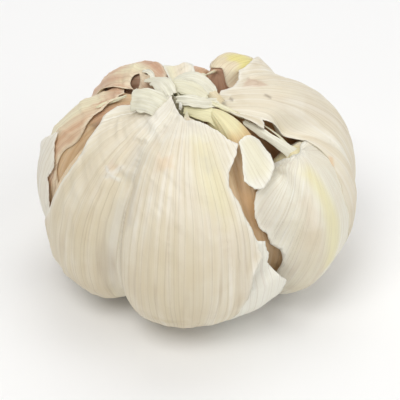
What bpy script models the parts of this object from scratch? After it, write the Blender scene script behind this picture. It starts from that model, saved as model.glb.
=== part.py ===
"""A head of garlic with its paper torn open: nine cloves round a dried neck, on a trimmed root plate.

Metres, +Z up. The origin is the middle of the root plate's flat underside, the neck rises from it
along +Z, and the tear in the outer paper faces -Y. Lengths below are millimetres until a mesh is made,
and azimuths are degrees round the neck from +X.
"""

import math
import random
from dataclasses import dataclass

import bmesh
import bpy
import numpy as np
from mathutils import Vector
from mathutils.bvhtree import BVHTree
from mathutils.geometry import delaunay_2d_cdt

MM = 0.001

# Driving dimensions of the head.
PLATE_RADIUS = 9.4  # root plate
PLATE_HEIGHT = 4.4
FOOT_RADIUS = 7.0  # flat spot that the head rests on
GAP = 0.35  # between pieces that touch
BELLY_HEIGHT = 18.0  # the hub that the paper wraps round lies on the axis at this height
CLOVE_FOOT_INNER = (5.8, 5.4)  # distance from the axis and height, on the plate's sloping top
CLOVE_FOOT_OUTER = (10.6, 3.8)
PAPER = 0.6  # thickness of a sheet of the dry wrapping
PAPER_GAP = 0.45  # from a sheet to what lies under it

# Mesh fineness.
CLOVE_RINGS = 15
CLOVE_SIDES = 16
DRAPE_STEP = 3  # degrees between the directions in which the head is measured for a sheet
LOWEST, HIGHEST = -66, 87  # elevations of the first and last row measured
SHEET_STEP = 5.2  # degrees between the points inside a sheet
EDGE_STEP = 4.0  # degrees between the points along its edge


@dataclass(frozen=True)
class Clove:
    """One clove, from its foot on the root plate to its dried tip."""

    name: str
    sector: tuple  # low and high azimuth of the wedge that it grew in
    tip_sector: tuple  # the same near its tip, for one that leans over a neighbour
    reach: float  # furthest distance from the neck's axis
    width: float  # across its belly, before its neighbours flatten it
    tip: tuple  # distance from the axis and height
    shoulder: float  # height of the outer curve's upper handle
    inner: float  # distance of its inner edge from the axis
    lean: float  # sideways shift of the tip, along increasing azimuth
    tail: tuple  # points of the dried tail beyond the tip: distance, height and sideways shift
    skin: str

    def wedge(self, t):
        """Middle azimuth and half angle, in radians, of its room at a share t of the way to the tip."""
        low, high = (a + (b - a) * t**3 for a, b in zip(self.sector, self.tip_sector))
        return math.radians((low + high) / 2), math.radians((high - low) / 2)


CLOVES = (
    Clove("clove_front", (-124, -58), (-124, -58), 33.2, 28.0, (6.8, 41.0), 42, 5.0, 0.0,
          ((5.8, 42.2, 0.0),), "pale_skin"),
    Clove("clove_front_gap", (-58, -48), (-56, -26), 26.0, 14.0, (6.4, 41.0), 44, 5.2, 0.0,
          ((5.4, 42.0, 0.0),), "tan_skin"),
    Clove("clove_right_front", (-46, -2), (-38, -5), 34.4, 29.0, (22.0, 34.6), 37, 13.5, 0.0,
          ((19.0, 36.6, 0.6), (15.5, 38.4, 0.6), (11.8, 39.4, 0.2)), "pale_skin"),
    Clove("clove_right_back", (-2, 37), (-9, 34), 35.6, 27.0, (8.2, 40.0), 46, 5.0, 0.0,
          ((7.0, 40.6, 0.0),), "tan_skin"),
    Clove("clove_back_right", (37, 71), (37, 71), 30.0, 20.0, (11.0, 41.4), 46, 5.0, 1.0,
          ((8.8, 41.4, 1.6),), "rose_skin"),
    Clove("clove_back", (71, 108), (71, 108), 27.5, 19.0, (8.4, 38.5), 42.5, 5.0, 0.0,
          ((7.0, 39.2, 0.0),), "rose_skin"),
    Clove("clove_back_left", (108, 150), (108, 150), 30.0, 21.0, (8.6, 40.0), 45, 5.0, -0.6,
          ((7.0, 40.0, -1.4),), "rose_skin"),
    Clove("clove_left", (150, 192), (150, 192), 31.2, 22.0, (9.6, 38.5), 41, 5.2, -0.8,
          ((7.6, 39.4, -1.4),), "tan_skin"),
    Clove("clove_front_left", (192, 236), (192, 236), 31.0, 25.0, (7.4, 39.5), 40, 5.0, 0.4,
          ((6.4, 40.6, 0.6),), "pale_skin"),
)


@dataclass(frozen=True)
class Sheet:
    """One torn piece of the dry wrapping, which lies on what is under it."""

    name: str
    corners: tuple  # azimuth and elevation from the hub, anticlockwise as seen from outside
    passes: int  # how tightly it is pulled over the grooves
    ragged: float  # degrees that its torn edge wanders to each side between its corners
    lift: float  # how far its torn edge stands off what is under it
    finish: str


SHEETS = (
    Sheet("paper_right_front", ((-44, -49), (-12, -48), (-9, -20), (-9, 5), (-11, 25), (-15, 36), (-25, 39),
                                (-32, 38), (-47, 34), (-55, 30), (-57, 24), (-58, 17), (-54, 12), (-52, 6),
                                (-49, 1), (-48, -8), (-45, -20), (-45, -35)),
          4, 0.5, 0.25, "inner_paper"),
    Sheet("paper_front_scrap", ((-82, -44), (-58, -44), (-51, -27), (-49, -14), (-46, -5), (-53, 0), (-56, 5),
                                (-55, 13), (-60, 17), (-66, 24), (-72, 24), (-75, 0), (-80, -14), (-87, -28)),
          6, 0.5, 0.3, "inner_paper"),
    Sheet("paper_front_flake", ((-47, 35), (-42, 44), (-38, 52), (-49, 55), (-56, 46), (-62, 37), (-54, 31)),
          4, 0.5, 0.3, "inner_paper"),
    Sheet("wrapper_right", ((-2, -48), (68, -48), (72, -20), (72, 2), (66, 22), (58, 34), (50, 43), (41, 50),
                            (38, 56), (30, 64), (20, 69), (4, 69), (-6, 62), (-7, 53), (-6, 45), (-8, 37),
                            (-9, 30), (-9, 22), (-5, 5), (-4, -20)), 10, 0.8, 0.4, "outer_paper"),
    Sheet("wrapper_back", ((74, -48), (188, -48), (191, -20), (191, 5), (189, 14), (190, 22), (183, 26),
                           (175, 15), (166, 6), (156, 12), (146, 6), (132, 12), (120, 4), (106, 12),
                           (92, 5), (81, 11), (76, -5)), 10, 1.2, 0.4, "outer_paper"),
    Sheet("wrapper_front", ((-164, -48), (-92, -48), (-86, -36), (-79, -26), (-72, -17), (-69, -6), (-67, 2),
                            (-62, 9), (-65, 22), (-67, 30), (-70, 37), (-70, 42), (-60, 47), (-51, 54),
                            (-48, 66), (-52, 75), (-90, 77), (-125, 75), (-142, 66), (-149, 58), (-151, 48),
                            (-148, 34), (-151, 20), (-154, 10), (-161, -2), (-165, -20)),
          12, 0.8, 0.4, "outer_paper"),
)

NECK_PROFILE = ((3.0, PLATE_HEIGHT + GAP), (3.3, 10.0), (3.3, 22.0), (3.4, 33.0), (3.7, 38.0), (4.0, 41.0),
                (4.4, 42.2), (3.5, 42.3), (2.4, 40.6), (1.2, 40.0))  # its torn top is a shallow cup
NECK_SIDES = 15


@dataclass(frozen=True)
class Strip:
    """A torn strip of dried sheath that bends out from the top of the neck."""

    azimuth: float
    curve: tuple  # distance from the axis and height of the four points that shape it
    width: float
    drift: float  # sideways shift of its end


STRIPS = (
    Strip(200, ((2.6, 41.0), (6.0, 43.6), (10.5, 43.2), (12.4, 40.4)), 8.0, 0.0),
    Strip(136, ((2.6, 40.2), (3.8, 41.6), (5.4, 42.2), (7.2, 41.2)), 5.0, -0.5),
    Strip(78, ((2.6, 40.2), (3.6, 41.0), (5.0, 41.2), (6.6, 40.4)), 5.0, 1.0),
    Strip(12, ((2.6, 40.6), (5.0, 42.4), (7.4, 42.8), (9.6, 41.8)), 4.6, -0.8),
    Strip(-52, ((2.6, 41.0), (4.0, 43.0), (5.6, 44.2), (7.4, 44.2)), 5.5, 0.5),
    Strip(-108, ((2.6, 41.0), (3.8, 43.2), (5.0, 44.4), (6.8, 44.6)), 6.0, -0.6),
)

STUB_RINGS = ((7.9, 17, 0.0, 1.3), (8.9, 22, 0.9, 1.9))  # distance, number, outward lean and length of roots

# Colour and roughness of each finish.
FINISHES = {
    "pale_skin": ((0.80, 0.74, 0.60), 0.5),
    "tan_skin": ((0.60, 0.38, 0.22), 0.45),
    "rose_skin": ((0.55, 0.31, 0.22), 0.45),
    "outer_paper": ((0.84, 0.80, 0.70), 0.6),
    "inner_paper": ((0.88, 0.86, 0.82), 0.55),
    "dried_neck": ((0.80, 0.76, 0.60), 0.8),
    "root_crust": ((0.42, 0.31, 0.19), 0.95),
}


def clear_scene():
    """Removes what the startup file holds."""
    for obj in list(bpy.data.objects):
        bpy.data.objects.remove(obj)


def make_finish(name):
    """A Principled material with the finish's colour and roughness."""
    colour, roughness = FINISHES[name]
    finish = bpy.data.materials.get(name) or bpy.data.materials.new(name)
    finish.use_nodes = True
    shader = finish.node_tree.nodes["Principled BSDF"]
    shader.inputs["Base Color"].default_value = (*colour, 1.0)
    shader.inputs["Roughness"].default_value = roughness
    shader.inputs["Metallic"].default_value = 0.0
    return finish


def add_object(name, mesh, collection, finish):
    """Links a smooth shaded object with this mesh and finish."""
    mesh.shade_smooth()
    mesh.materials.append(make_finish(finish))
    obj = bpy.data.objects.new(name, mesh)
    collection.objects.link(obj)
    return obj


def loft(name, rings):
    """A closed mesh through rings of points in millimetres, with a flat cap at each end."""
    sides = len(rings[0])
    points = [[c * MM for c in p] for ring in rings for p in ring]
    faces = [tuple(reversed(range(sides)))]
    for k in range(len(rings) - 1):
        for i in range(sides):
            j = (i + 1) % sides
            faces.append((k * sides + i, k * sides + j, (k + 1) * sides + j, (k + 1) * sides + i))
    last = (len(rings) - 1) * sides
    faces.append(tuple(range(last, last + sides)))
    mesh = bpy.data.meshes.new(name)
    mesh.from_pydata(points, [], faces)
    make_faces_point_out(mesh)
    return mesh


def make_faces_point_out(mesh):
    """Turns every face of a closed mesh outwards."""
    bm = bmesh.new()
    bm.from_mesh(mesh)
    bmesh.ops.recalc_face_normals(bm, faces=bm.faces)
    bm.to_mesh(mesh)
    bm.free()


def bezier(start, handle_a, handle_b, end, t):
    """Point of a cubic curve in the plane of distance from the axis and height."""
    a, b, c, d = (np.array(p, float) for p in (start, handle_a, handle_b, end))
    u = 1.0 - t
    return u**3 * a + 3 * u * u * t * b + 3 * u * t * t * c + t**3 * d


def soft_limit(value, limit):
    """Value, eased so that it never passes plus or minus limit, as where two cloves press together."""
    sharpness = 6
    return value / (1 + abs(value / limit) ** sharpness) ** (1 / sharpness)


def clove_rings(clove):
    """Rings of points up one clove: its body between an outer and an inner curve, then its tail."""
    underside = -5.4  # height of the outer curve's lower handle, which gives the round bottom
    inner_heights = (12, 30)  # of the inner curve's two handles
    flare = 1.5  # how much further out the outer curve's lower handle is than the upper
    tip_thickness = 0.5
    # A cubic curve passes this far out halfway when its handles lie here.
    handle = (8 * clove.reach - CLOVE_FOOT_OUTER[0] - clove.tip[0]) / 6
    sections = []
    for k in range(CLOVE_RINGS):
        even = k / (CLOVE_RINGS - 1)
        t = 0.5 * even + 0.25 * (1 - math.cos(math.pi * even))
        handles = (handle + flare, underside), (handle - flare, clove.shoulder)
        outer = bezier(CLOVE_FOOT_OUTER, *handles, clove.tip, t)
        handles = [(clove.inner, height) for height in inner_heights]
        inner = bezier(CLOVE_FOOT_INNER, *handles, clove.tip, t)
        # Share of the full width: wide over most of the length, with a blunt foot and a fine tip.
        swell = 0.3 * (1 - t) ** 6 + math.sin(math.pi * t**0.9) ** 0.65 + 0.06
        half_depth = (outer - inner) / 2 + np.array((0.0, tip_thickness)) * t**4
        sections.append((t, (outer + inner) / 2, half_depth, swell * clove.width / 2, clove.lean * t**1.5))
    centre, half_depth = sections[-1][1:3]
    tail_width = 0.8
    for n, (distance, height, side) in enumerate(clove.tail):
        share = (n + 1) / len(clove.tail)
        point = np.array((distance, height))
        along = point - centre
        across = np.array((-along[1], along[0])) / np.linalg.norm(along)
        across *= math.copysign(0.45 - 0.15 * share, across @ half_depth)
        centre, half_depth = point, across
        sections.append((1.0, centre, half_depth, tail_width * (1 - 0.55 * share), side))
    return [section_points(clove, *section) for section in sections]


def section_points(clove, t, centre, half_depth, half_width, side):
    """One ring of a clove: round outside, narrower inside, flattened where its neighbours press."""
    squareness = 0.9  # below 1, the ring is fuller than an ellipse
    azimuth, half_angle = clove.wedge(t)
    outward = np.array((math.cos(azimuth), math.sin(azimuth), 0.0))
    sideways = np.array((-math.sin(azimuth), math.cos(azimuth), 0.0))
    points = []
    for i in range(CLOVE_SIDES):
        turn = 2 * math.pi * i / CLOVE_SIDES
        c, s = math.cos(turn), math.sin(turn)
        distance, height = centre + half_depth * math.copysign(abs(c) ** squareness, c)
        across = half_width * math.copysign(abs(s) ** squareness, s) * (0.86 + 0.14 * c) + side
        room = max(distance, 1.0) * math.tan(half_angle) - GAP / 2 / math.cos(half_angle)
        across = soft_limit(across, room)
        points.append(outward * distance + sideways * across + np.array((0, 0, height)))
    return points


def make_cloves(collection):
    """Every clove, as a loft."""
    return [
        add_object(clove.name, loft(clove.name, clove_rings(clove)), collection, clove.skin)
        for clove in CLOVES
    ]


def direction(azimuth, elevation):
    """Unit vector from the hub, for angles in degrees."""
    a, e = math.radians(azimuth), math.radians(elevation)
    return Vector((math.cos(a) * math.cos(e), math.sin(a) * math.cos(e), math.sin(e)))


def tree_of(solids):
    """A search tree over the faces of several solids, in millimetres."""
    bpy.context.view_layer.update()
    points, faces = [], []
    for obj in solids:
        mesh = obj.evaluated_get(bpy.context.evaluated_depsgraph_get()).to_mesh()
        start = len(points)
        points += [v.co / MM for v in mesh.vertices]
        faces += [[start + i for i in polygon.vertices] for polygon in mesh.polygons]
    return BVHTree.FromPolygons(points, faces)


def outermost(ray, tree):
    """Distance from the hub to the outermost surface along a ray."""
    far = 90.0
    hit = tree.ray_cast(Vector((0, 0, BELLY_HEIGHT)) + ray * far, -ray)[3]
    return far - hit if hit else 0.0


def measure(tree):
    """Distance from the hub to the outermost surface: a row for each elevation, a column for each azimuth."""
    return np.array([
        [outermost(direction(azimuth, elevation), tree) for azimuth in range(0, 360, DRAPE_STEP)]
        for elevation in range(LOWEST, HIGHEST + 1, DRAPE_STEP)
    ])


def stretch(distances, passes):
    """The distances of a sheet pulled over the head: more passes bridge its grooves more tightly."""
    sheet = distances.copy()
    for _ in range(passes):
        above = np.vstack((sheet[1:], sheet[-1:]))
        below = np.vstack((sheet[:1], sheet[:-1]))
        mean = (above + below + np.roll(sheet, 1, axis=1) + np.roll(sheet, -1, axis=1)) / 4
        sheet = np.maximum(distances, mean)
    return sheet


def read_distance(distances, azimuth, elevation):
    """Distance between the measured directions, by straight interpolation."""
    row = (min(max(elevation, LOWEST), HIGHEST - 0.01) - LOWEST) / DRAPE_STEP
    column = (azimuth % 360) / DRAPE_STEP
    i, j = int(row), int(column)
    u, v = row - i, column - j
    wide = distances.shape[1]
    low = distances[i, j % wide] * (1 - v) + distances[i, (j + 1) % wide] * v
    high = distances[i + 1, j % wide] * (1 - v) + distances[i + 1, (j + 1) % wide] * v
    return low * (1 - u) + high * u


def to_map(azimuth, elevation):
    """A point on a map that keeps angles true, so that triangles laid out on it keep their shape."""
    return Vector((math.radians(azimuth), math.log(math.tan(math.pi / 4 + math.radians(elevation) / 2))))


def from_map(point):
    """Azimuth and elevation of a point on that map."""
    return math.degrees(point[0]), math.degrees(2 * math.atan(math.exp(point[1])) - math.pi / 2)


def torn_outline(sheet):
    """The sheet's outline as azimuths and elevations, with points along it that wander to each side."""
    draw = random.Random(sheet.name)
    outline = []
    for start, end in zip(sheet.corners, sheet.corners[1:] + sheet.corners[:1]):
        narrowing = math.cos(math.radians((start[1] + end[1]) / 2))
        across, up = (end[0] - start[0]) * narrowing, end[1] - start[1]
        length = math.hypot(across, up)
        steps = max(1, round(length / EDGE_STEP))
        for k in range(steps):
            aside = draw.uniform(-sheet.ragged, sheet.ragged) if k else 0.0
            share = k / steps
            azimuth = start[0] + (across * share - up / length * aside) / narrowing
            outline.append((azimuth, start[1] + up * share + across / length * aside))
    return outline


def inside(point, outline):
    """Whether a point of the map lies in the outline, by counting the edges to one side of it."""
    odd = False
    for a, b in zip(outline, outline[1:] + outline[:1]):
        if (a.y > point.y) != (b.y > point.y) and point.x < a.x + (point.y - a.y) / (b.y - a.y) * (b.x - a.x):
            odd = not odd
    return odd


def edge_distance(point, outline):
    """Degrees from a point of the map to the outline."""
    nearest = math.inf
    for a, b in zip(outline, outline[1:] + outline[:1]):
        share = min(max((point - a).dot(b - a) / (b - a).length_squared, 0.0), 1.0)
        nearest = min(nearest, (point - a.lerp(b, share)).length)
    return math.degrees(nearest) * math.cos(math.radians(from_map(point)[1]))


def lay_out(sheet):
    """Points of the sheet as (azimuth, elevation, degrees to its edge), and its triangles."""
    outline = [to_map(*p) for p in torn_outline(sheet)]
    points = list(outline)
    row_step = SHEET_STEP * math.sqrt(3) / 2
    low, high = (f(p[1] for p in sheet.corners) for f in (min, max))
    west, east = (f(p[0] for p in sheet.corners) for f in (min, max))
    for row in range(int((high - low) / row_step) + 1):
        elevation = low + row_step * (row + 0.5)
        step = SHEET_STEP / math.cos(math.radians(elevation))
        for column in range(int((east - west) / step) + 1):
            point = to_map(west + step * (column + 0.5 * (row % 2)), elevation)
            if inside(point, outline) and edge_distance(point, outline) > SHEET_STEP / 2:
                points.append(point)
    laid, _, faces, _, _, _ = delaunay_2d_cdt(points, [], [list(range(len(outline)))], 1, 1e-6)
    return [(*from_map(p), edge_distance(p, outline)) for p in laid], faces


def drape(sheet, tree):
    """The sheet's inner face as points in millimetres and triangles, clear of what is under it."""
    angles, faces = lay_out(sheet)
    distances = stretch(measure(tree), sheet.passes)
    rays = [direction(azimuth, elevation) for azimuth, elevation, _ in angles]
    reach = []
    for azimuth, elevation, from_edge in angles:
        curl = sheet.lift * math.exp(-((from_edge / 4) ** 2)) * min(max((elevation + 15) / 20, 0.0), 1.0)
        reach.append(read_distance(distances, azimuth, elevation) + PAPER_GAP + curl)
    patches = [(i,) for i in range(len(angles))]
    patches += [tuple(face) for face in faces]
    patches += [(face[i - 1], face[i]) for face in faces for i in range(3)]
    around = [sorted({j for face in faces if i in face for j in face} - {i}) for i in range(len(angles))]
    relaxed, settled = 8, 3
    for turn in range(relaxed + settled):
        if turn < relaxed:
            means = [sum(reach[j] for j in near) / len(near) for near in around]
            reach = [far - 0.5 * max(far - mean, 0.0) for far, mean in zip(reach, means)]
        for patch in patches:
            short = shortfall(sum((rays[i] * reach[i] for i in patch), Vector()) / len(patch), tree)
            for i in patch:
                reach[i] += short
    hub = Vector((0, 0, BELLY_HEIGHT))
    return [hub + ray * far for ray, far in zip(rays, reach)], faces


def shortfall(arm, tree):
    """How much further out a point has to be, given from the hub, to clear what the tree holds."""
    sideways = 0.1  # below this cosine, what is nearest lies beside the point and not under it
    most_slanted = 0.5  # cosine at which the push outwards stops growing
    ray = arm.normalized()
    short = outermost(ray, tree) + PAPER_GAP - arm.length
    if short > 0:
        return short
    point = arm + Vector((0, 0, BELLY_HEIGHT))
    clear = point - tree.find_nearest(point)[0]
    short = PAPER_GAP - clear.length
    facing = ray.dot(clear.normalized())
    return short / max(facing, most_slanted) if short > 0 and facing > sideways else 0.0


def make_sheets(collection, solids):
    """Every sheet, each laid over the solids and the sheets before it and thickened outwards."""
    made = []
    for sheet in SHEETS:
        points, faces = drape(sheet, tree_of(solids + made))
        mesh = bpy.data.meshes.new(sheet.name)
        mesh.from_pydata([p * MM for p in points], [], faces)
        obj = add_object(sheet.name, mesh, collection, sheet.finish)
        solidify = obj.modifiers.new("thickness", "SOLIDIFY")
        solidify.thickness = PAPER * MM
        solidify.offset = 1.0
        made.append(obj)
    return made


def join(base, extras):
    """Joins extra solids into the base's mesh, as one body, and removes them."""
    helpers = bpy.data.collections.new("to_join")
    bpy.context.scene.collection.children.link(helpers)
    for obj in extras:
        helpers.objects.link(obj)
    union = base.modifiers.new("union", "BOOLEAN")
    union.operation = "UNION"
    union.operand_type = "COLLECTION"
    union.collection = helpers
    bpy.context.view_layer.update()
    joined = bpy.data.meshes.new_from_object(base.evaluated_get(bpy.context.evaluated_depsgraph_get()))
    base.modifiers.clear()
    base.data = joined
    for obj in extras:
        bpy.data.objects.remove(obj)
    bpy.data.collections.remove(helpers)


def stalk_rings():
    """Rings of points up the neck, ribbed by the sheaths that it is made of and uneven at its torn top."""
    draw = random.Random("neck")
    torn_from, torn_over = 41.0, 1.4  # height where the tears start to show, and how fast they grow
    ribs, rib_depth = 5, 0.06
    turns = [2 * math.pi * i / NECK_SIDES for i in range(NECK_SIDES)]
    tears = [draw.uniform(-0.9, 0.9) for _ in turns]
    rings = []
    for radius, height in NECK_PROFILE:
        torn = min(max((height - torn_from) / torn_over, 0.0), 1.0)
        ring = []
        for turn, tear in zip(turns, tears):
            wide = radius * (1 + rib_depth * math.cos(ribs * turn + 1))
            ring.append((wide * math.cos(turn), wide * math.sin(turn), height + tear * torn))
        rings.append(ring)
    return rings


def make_strip(strip, tree):
    """One strip as a solid, lifted clear of what the tree holds."""
    along, across = 6, 3
    cup = 0.35  # how far its sides droop, as a share of half its width
    above = 60.0  # a height over the whole head
    draw = random.Random(strip.azimuth)
    azimuth = math.radians(strip.azimuth)
    outward = Vector((math.cos(azimuth), math.sin(azimuth), 0))
    sideways = Vector((-math.sin(azimuth), math.cos(azimuth), 0))
    tears = [draw.uniform(-0.06, 0.06) for _ in range(across + 1)]
    points = []
    for i in range(along + 1):
        for j, tear in enumerate(tears):
            t = i / along * (1 + tear) if i == along else i / along
            distance, height = bezier(*strip.curve, t)
            aside = 2 * j / across - 1
            half_width = strip.width / 2 * (0.5 + 0.5 * math.sin(math.pi * (0.15 + 0.7 * t)))
            point = outward * distance + sideways * (aside * half_width + strip.drift * t * t)
            points.append(point + Vector((0, 0, height - cup * half_width * aside**2)))
    for point in points:
        top = tree.ray_cast(Vector((point.x, point.y, above)), Vector((0, 0, -1)))[0]
        if top:
            point.z = max(point.z, top.z + 2 * GAP)
    row = across + 1
    corners = [i * row + j for i in range(along) for j in range(across)]
    faces = [(k, k + row, k + row + 1, k + 1) for k in corners]
    mesh = bpy.data.meshes.new("strip")
    mesh.from_pydata([p * MM for p in points], [], faces)
    obj = bpy.data.objects.new("strip", mesh)
    solidify = obj.modifiers.new("thickness", "SOLIDIFY")
    solidify.thickness = PAPER * MM
    solidify.offset = 1.0
    return obj


def make_stalk(collection):
    """The dried neck's stalk, from the root plate up between the cloves."""
    return add_object("neck", loft("neck", stalk_rings()), collection, "dried_neck")


def make_stub(distance, azimuth, lean, length):
    """One cut root, from inside the plate down and outwards."""
    root = 1.9  # height at which it starts, inside the plate
    thick, thin = 0.6, 0.42  # radii of its two ends
    outward = Vector((math.cos(azimuth), math.sin(azimuth), 0))
    way = (outward * lean + Vector((0, 0, -1))).normalized()
    bm = bmesh.new()
    bmesh.ops.create_cone(bm, cap_ends=True, segments=5, radius1=thin * MM, radius2=thick * MM,
                          depth=length * MM)
    turn = way.to_track_quat("-Z", "Y").to_matrix().to_4x4()
    middle = outward * distance + Vector((0, 0, root)) + way * (length / 2)
    bmesh.ops.transform(bm, matrix=turn, verts=bm.verts)
    bmesh.ops.translate(bm, vec=middle * MM, verts=bm.verts)
    mesh = bpy.data.meshes.new("root_stub")
    bm.to_mesh(mesh)
    bm.free()
    return bpy.data.objects.new("root_stub", mesh)


def make_root_plate(collection):
    """The woody plate that the cloves grow from, turned, with the stubs of its trimmed roots."""
    profile = ((0.0, PLATE_HEIGHT), (5.4, PLATE_HEIGHT - 0.3), (9.0, 2.9), (PLATE_RADIUS, 2.1), (8.7, 1.2),
               (FOOT_RADIUS + 0.3, 0.9), (FOOT_RADIUS, 0.0), (0.0, 0.0))
    mesh = bpy.data.meshes.new("root_plate")
    edges = [(i, i + 1) for i in range(len(profile) - 1)]
    mesh.from_pydata([(x * MM, 0, z * MM) for x, z in profile], edges, [])
    plate = add_object("root_plate", mesh, collection, "root_crust")
    screw = plate.modifiers.new("turned", "SCREW")
    screw.steps = screw.render_steps = 24
    screw.use_merge_vertices = True
    screw.merge_threshold = 0.00005
    draw = random.Random("roots")
    stubs = []
    for distance, number, lean, length in STUB_RINGS:
        for k in range(number):
            azimuth = 2 * math.pi * (k + draw.uniform(-0.25, 0.25)) / number
            here = distance + draw.uniform(-0.25, 0.25)
            leaning, long = lean + draw.uniform(-0.1, 0.2), length - draw.uniform(0.0, 0.4)
            stubs.append(make_stub(here, azimuth, leaning, long))
    join(plate, stubs)
    return plate


def build():
    clear_scene()
    head = bpy.data.collections.new("garlic_head")
    bpy.context.scene.collection.children.link(head)
    cloves = make_cloves(head)
    neck = make_stalk(head)
    make_root_plate(head)
    sheets = make_sheets(head, cloves + [neck])
    covering = tree_of(cloves + sheets)
    join(neck, [make_strip(strip, covering) for strip in STRIPS])


if __name__ == "__main__":
    build()
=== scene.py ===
"""Looks of a head of garlic: fine cloves, torn paper, a dried neck and a trimmed root plate.

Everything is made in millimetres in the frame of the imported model, and becomes metres when a mesh is made.
Directions are given from a hub on the neck's axis, as an azimuth and an elevation in degrees.
"""

import logging
import math
from collections.abc import Sequence
from dataclasses import dataclass, field
from enum import Enum

import bpy
import numpy as np
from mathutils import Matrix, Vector
from mathutils.bvhtree import BVHTree
from mathutils.geometry import delaunay_2d_cdt

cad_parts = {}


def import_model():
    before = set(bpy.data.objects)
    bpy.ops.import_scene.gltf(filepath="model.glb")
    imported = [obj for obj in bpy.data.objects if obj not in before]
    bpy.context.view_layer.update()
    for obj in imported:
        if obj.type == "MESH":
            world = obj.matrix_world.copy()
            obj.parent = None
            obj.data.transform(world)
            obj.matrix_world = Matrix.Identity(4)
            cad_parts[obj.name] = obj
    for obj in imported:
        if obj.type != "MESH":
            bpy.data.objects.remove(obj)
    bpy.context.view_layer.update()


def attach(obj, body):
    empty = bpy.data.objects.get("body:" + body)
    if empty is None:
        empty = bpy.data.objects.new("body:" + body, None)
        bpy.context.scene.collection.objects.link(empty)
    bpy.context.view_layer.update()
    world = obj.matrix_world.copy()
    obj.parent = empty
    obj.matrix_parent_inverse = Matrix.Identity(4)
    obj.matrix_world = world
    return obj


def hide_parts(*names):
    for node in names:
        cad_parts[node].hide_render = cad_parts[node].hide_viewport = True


MM = 0.001  # metres in a millimetre
HUB = np.array((0.0, 0.0, 18.0))  # the paper wraps round this point
GAP = 0.35  # millimetres between two cloves

log = logging.getLogger("garlic")

Colour = tuple[float, float, float]
Angles = tuple[float, float]


class Slot(Enum):
    """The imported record's material slots."""

    PALE = "pale_skin"
    TAN = "tan_skin"
    ROSE = "rose_skin"
    OUTER = "outer_paper"
    INNER = "inner_paper"
    NECK = "dried_neck"
    ROOT = "root_crust"


class Tint(Enum):
    """Colours that are painted on a piece as soft patches. The neutral mid-tone is painted shade; the darkest
    is painted shade in hollows, a hole and a crease, and real specks elsewhere.
    """

    TAN = "tan"
    ROSE = "rose"
    YELLOW = "yellow"
    CREAM = "cream"
    BEIGE = "beige"
    WHITE = "white"
    # painted shade on pale paper and sheath
    GREY = "grey"
    # painted shade in hollows, a hole and a crease; real specks on the right wrapper
    DARK = "dark"


TINTS: dict[Tint, Colour] = {
    Tint.TAN: (0.74, 0.46, 0.22),
    Tint.BEIGE: (0.62, 0.52, 0.335),
    Tint.ROSE: (0.52, 0.275, 0.17),
    Tint.CREAM: (0.86, 0.82, 0.58),
    Tint.YELLOW: (0.84, 0.76, 0.27),
    Tint.WHITE: (0.88, 0.865, 0.79),
    # painted shade
    Tint.GREY: (0.52, 0.50, 0.49),
    # painted shade in most uses, real dark specks in a few
    Tint.DARK: (0.13, 0.065, 0.03),
}


def smooth_step(value: np.ndarray, low: float, high: float) -> np.ndarray:
    """The numbers, eased from 0 at low to 1 at high."""
    share = np.clip((value - low) / (high - low), 0.0, 1.0)
    return share * share * (3 - 2 * share)


def hash_of(word: str) -> int:
    """A fixed number for a word, to seed noise with."""
    return sum((k + 1) * ord(letter) for k, letter in enumerate(word)) % 9973


def lattice(cells: np.ndarray, seed: int) -> np.ndarray:
    """A fixed random number from -1 to 1 for each whole-numbered cell.

    Args:
        cells: Whole numbers, one row for each cell.
        seed: Which set of random numbers to take.

    Returns:
        One number for each row.
    """
    mixed = np.full(len(cells), seed * 668265263 % 2**32, dtype=np.uint64)
    for axis, prime in zip(range(cells.shape[1]), (374761393, 2246822519, 3266489917)):
        mixed ^= (
            (cells[:, axis].astype(np.int64) % 2**31).astype(np.uint64) * np.uint64(prime) % np.uint64(2**32)
        )
        mixed = (mixed ^ (mixed >> np.uint64(15))) * np.uint64(2654435761) % np.uint64(2**32)
    return (mixed ^ (mixed >> np.uint64(13))) % np.uint64(65536) / 32767.5 - 1.0


def noise(seed: int, *coordinates: np.ndarray) -> np.ndarray:
    """Smooth noise from -1 to 1, with features one unit wide.

    Args:
        seed: Which noise to take.
        *coordinates: One array for each dimension.

    Returns:
        The noise at each point.
    """
    points = np.stack([np.asarray(c, float) for c in coordinates], axis=-1)
    base = np.floor(points)
    share = points - base
    share = share * share * (3 - 2 * share)
    total = np.zeros(len(points))
    for corner in range(2 ** points.shape[1]):
        offset = np.array([(corner >> axis) & 1 for axis in range(points.shape[1])])
        weight = np.prod(np.where(offset == 1, share, 1 - share), axis=1)
        total += weight * lattice(base + offset, seed)
    return total


def direction(azimuth: np.ndarray, elevation: np.ndarray) -> np.ndarray:
    """Unit vectors from the hub, one row for each azimuth and elevation."""
    a, e = np.radians(azimuth), np.radians(elevation)
    return np.stack((np.cos(a) * np.cos(e), np.sin(a) * np.cos(e), np.sin(e)), axis=-1)


def angles_of(points: np.ndarray) -> tuple[np.ndarray, np.ndarray]:
    """Azimuths and elevations of points, seen from the hub.

    Args:
        points: Points in millimetres.

    Returns:
        Two arrays of degrees.
    """
    arm = points - HUB
    flat = np.hypot(arm[:, 0], arm[:, 1])
    return np.degrees(np.arctan2(arm[:, 1], arm[:, 0])), np.degrees(np.arctan2(arm[:, 2], flat))


def to_map(angles: np.ndarray) -> np.ndarray:
    """Rows of azimuth and elevation as places on a map that keeps angles true, in radians."""
    up = np.log(np.tan(math.pi / 4 + np.radians(angles[:, 1]) / 2))
    return np.stack((np.radians(angles[:, 0]), up), axis=-1)


def from_map(places: np.ndarray) -> np.ndarray:
    """Rows of azimuth and elevation for places on the map."""
    up = 2 * np.arctan(np.exp(places[:, 1])) - math.pi / 2
    return np.degrees(np.stack((places[:, 0], up), axis=-1))


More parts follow.
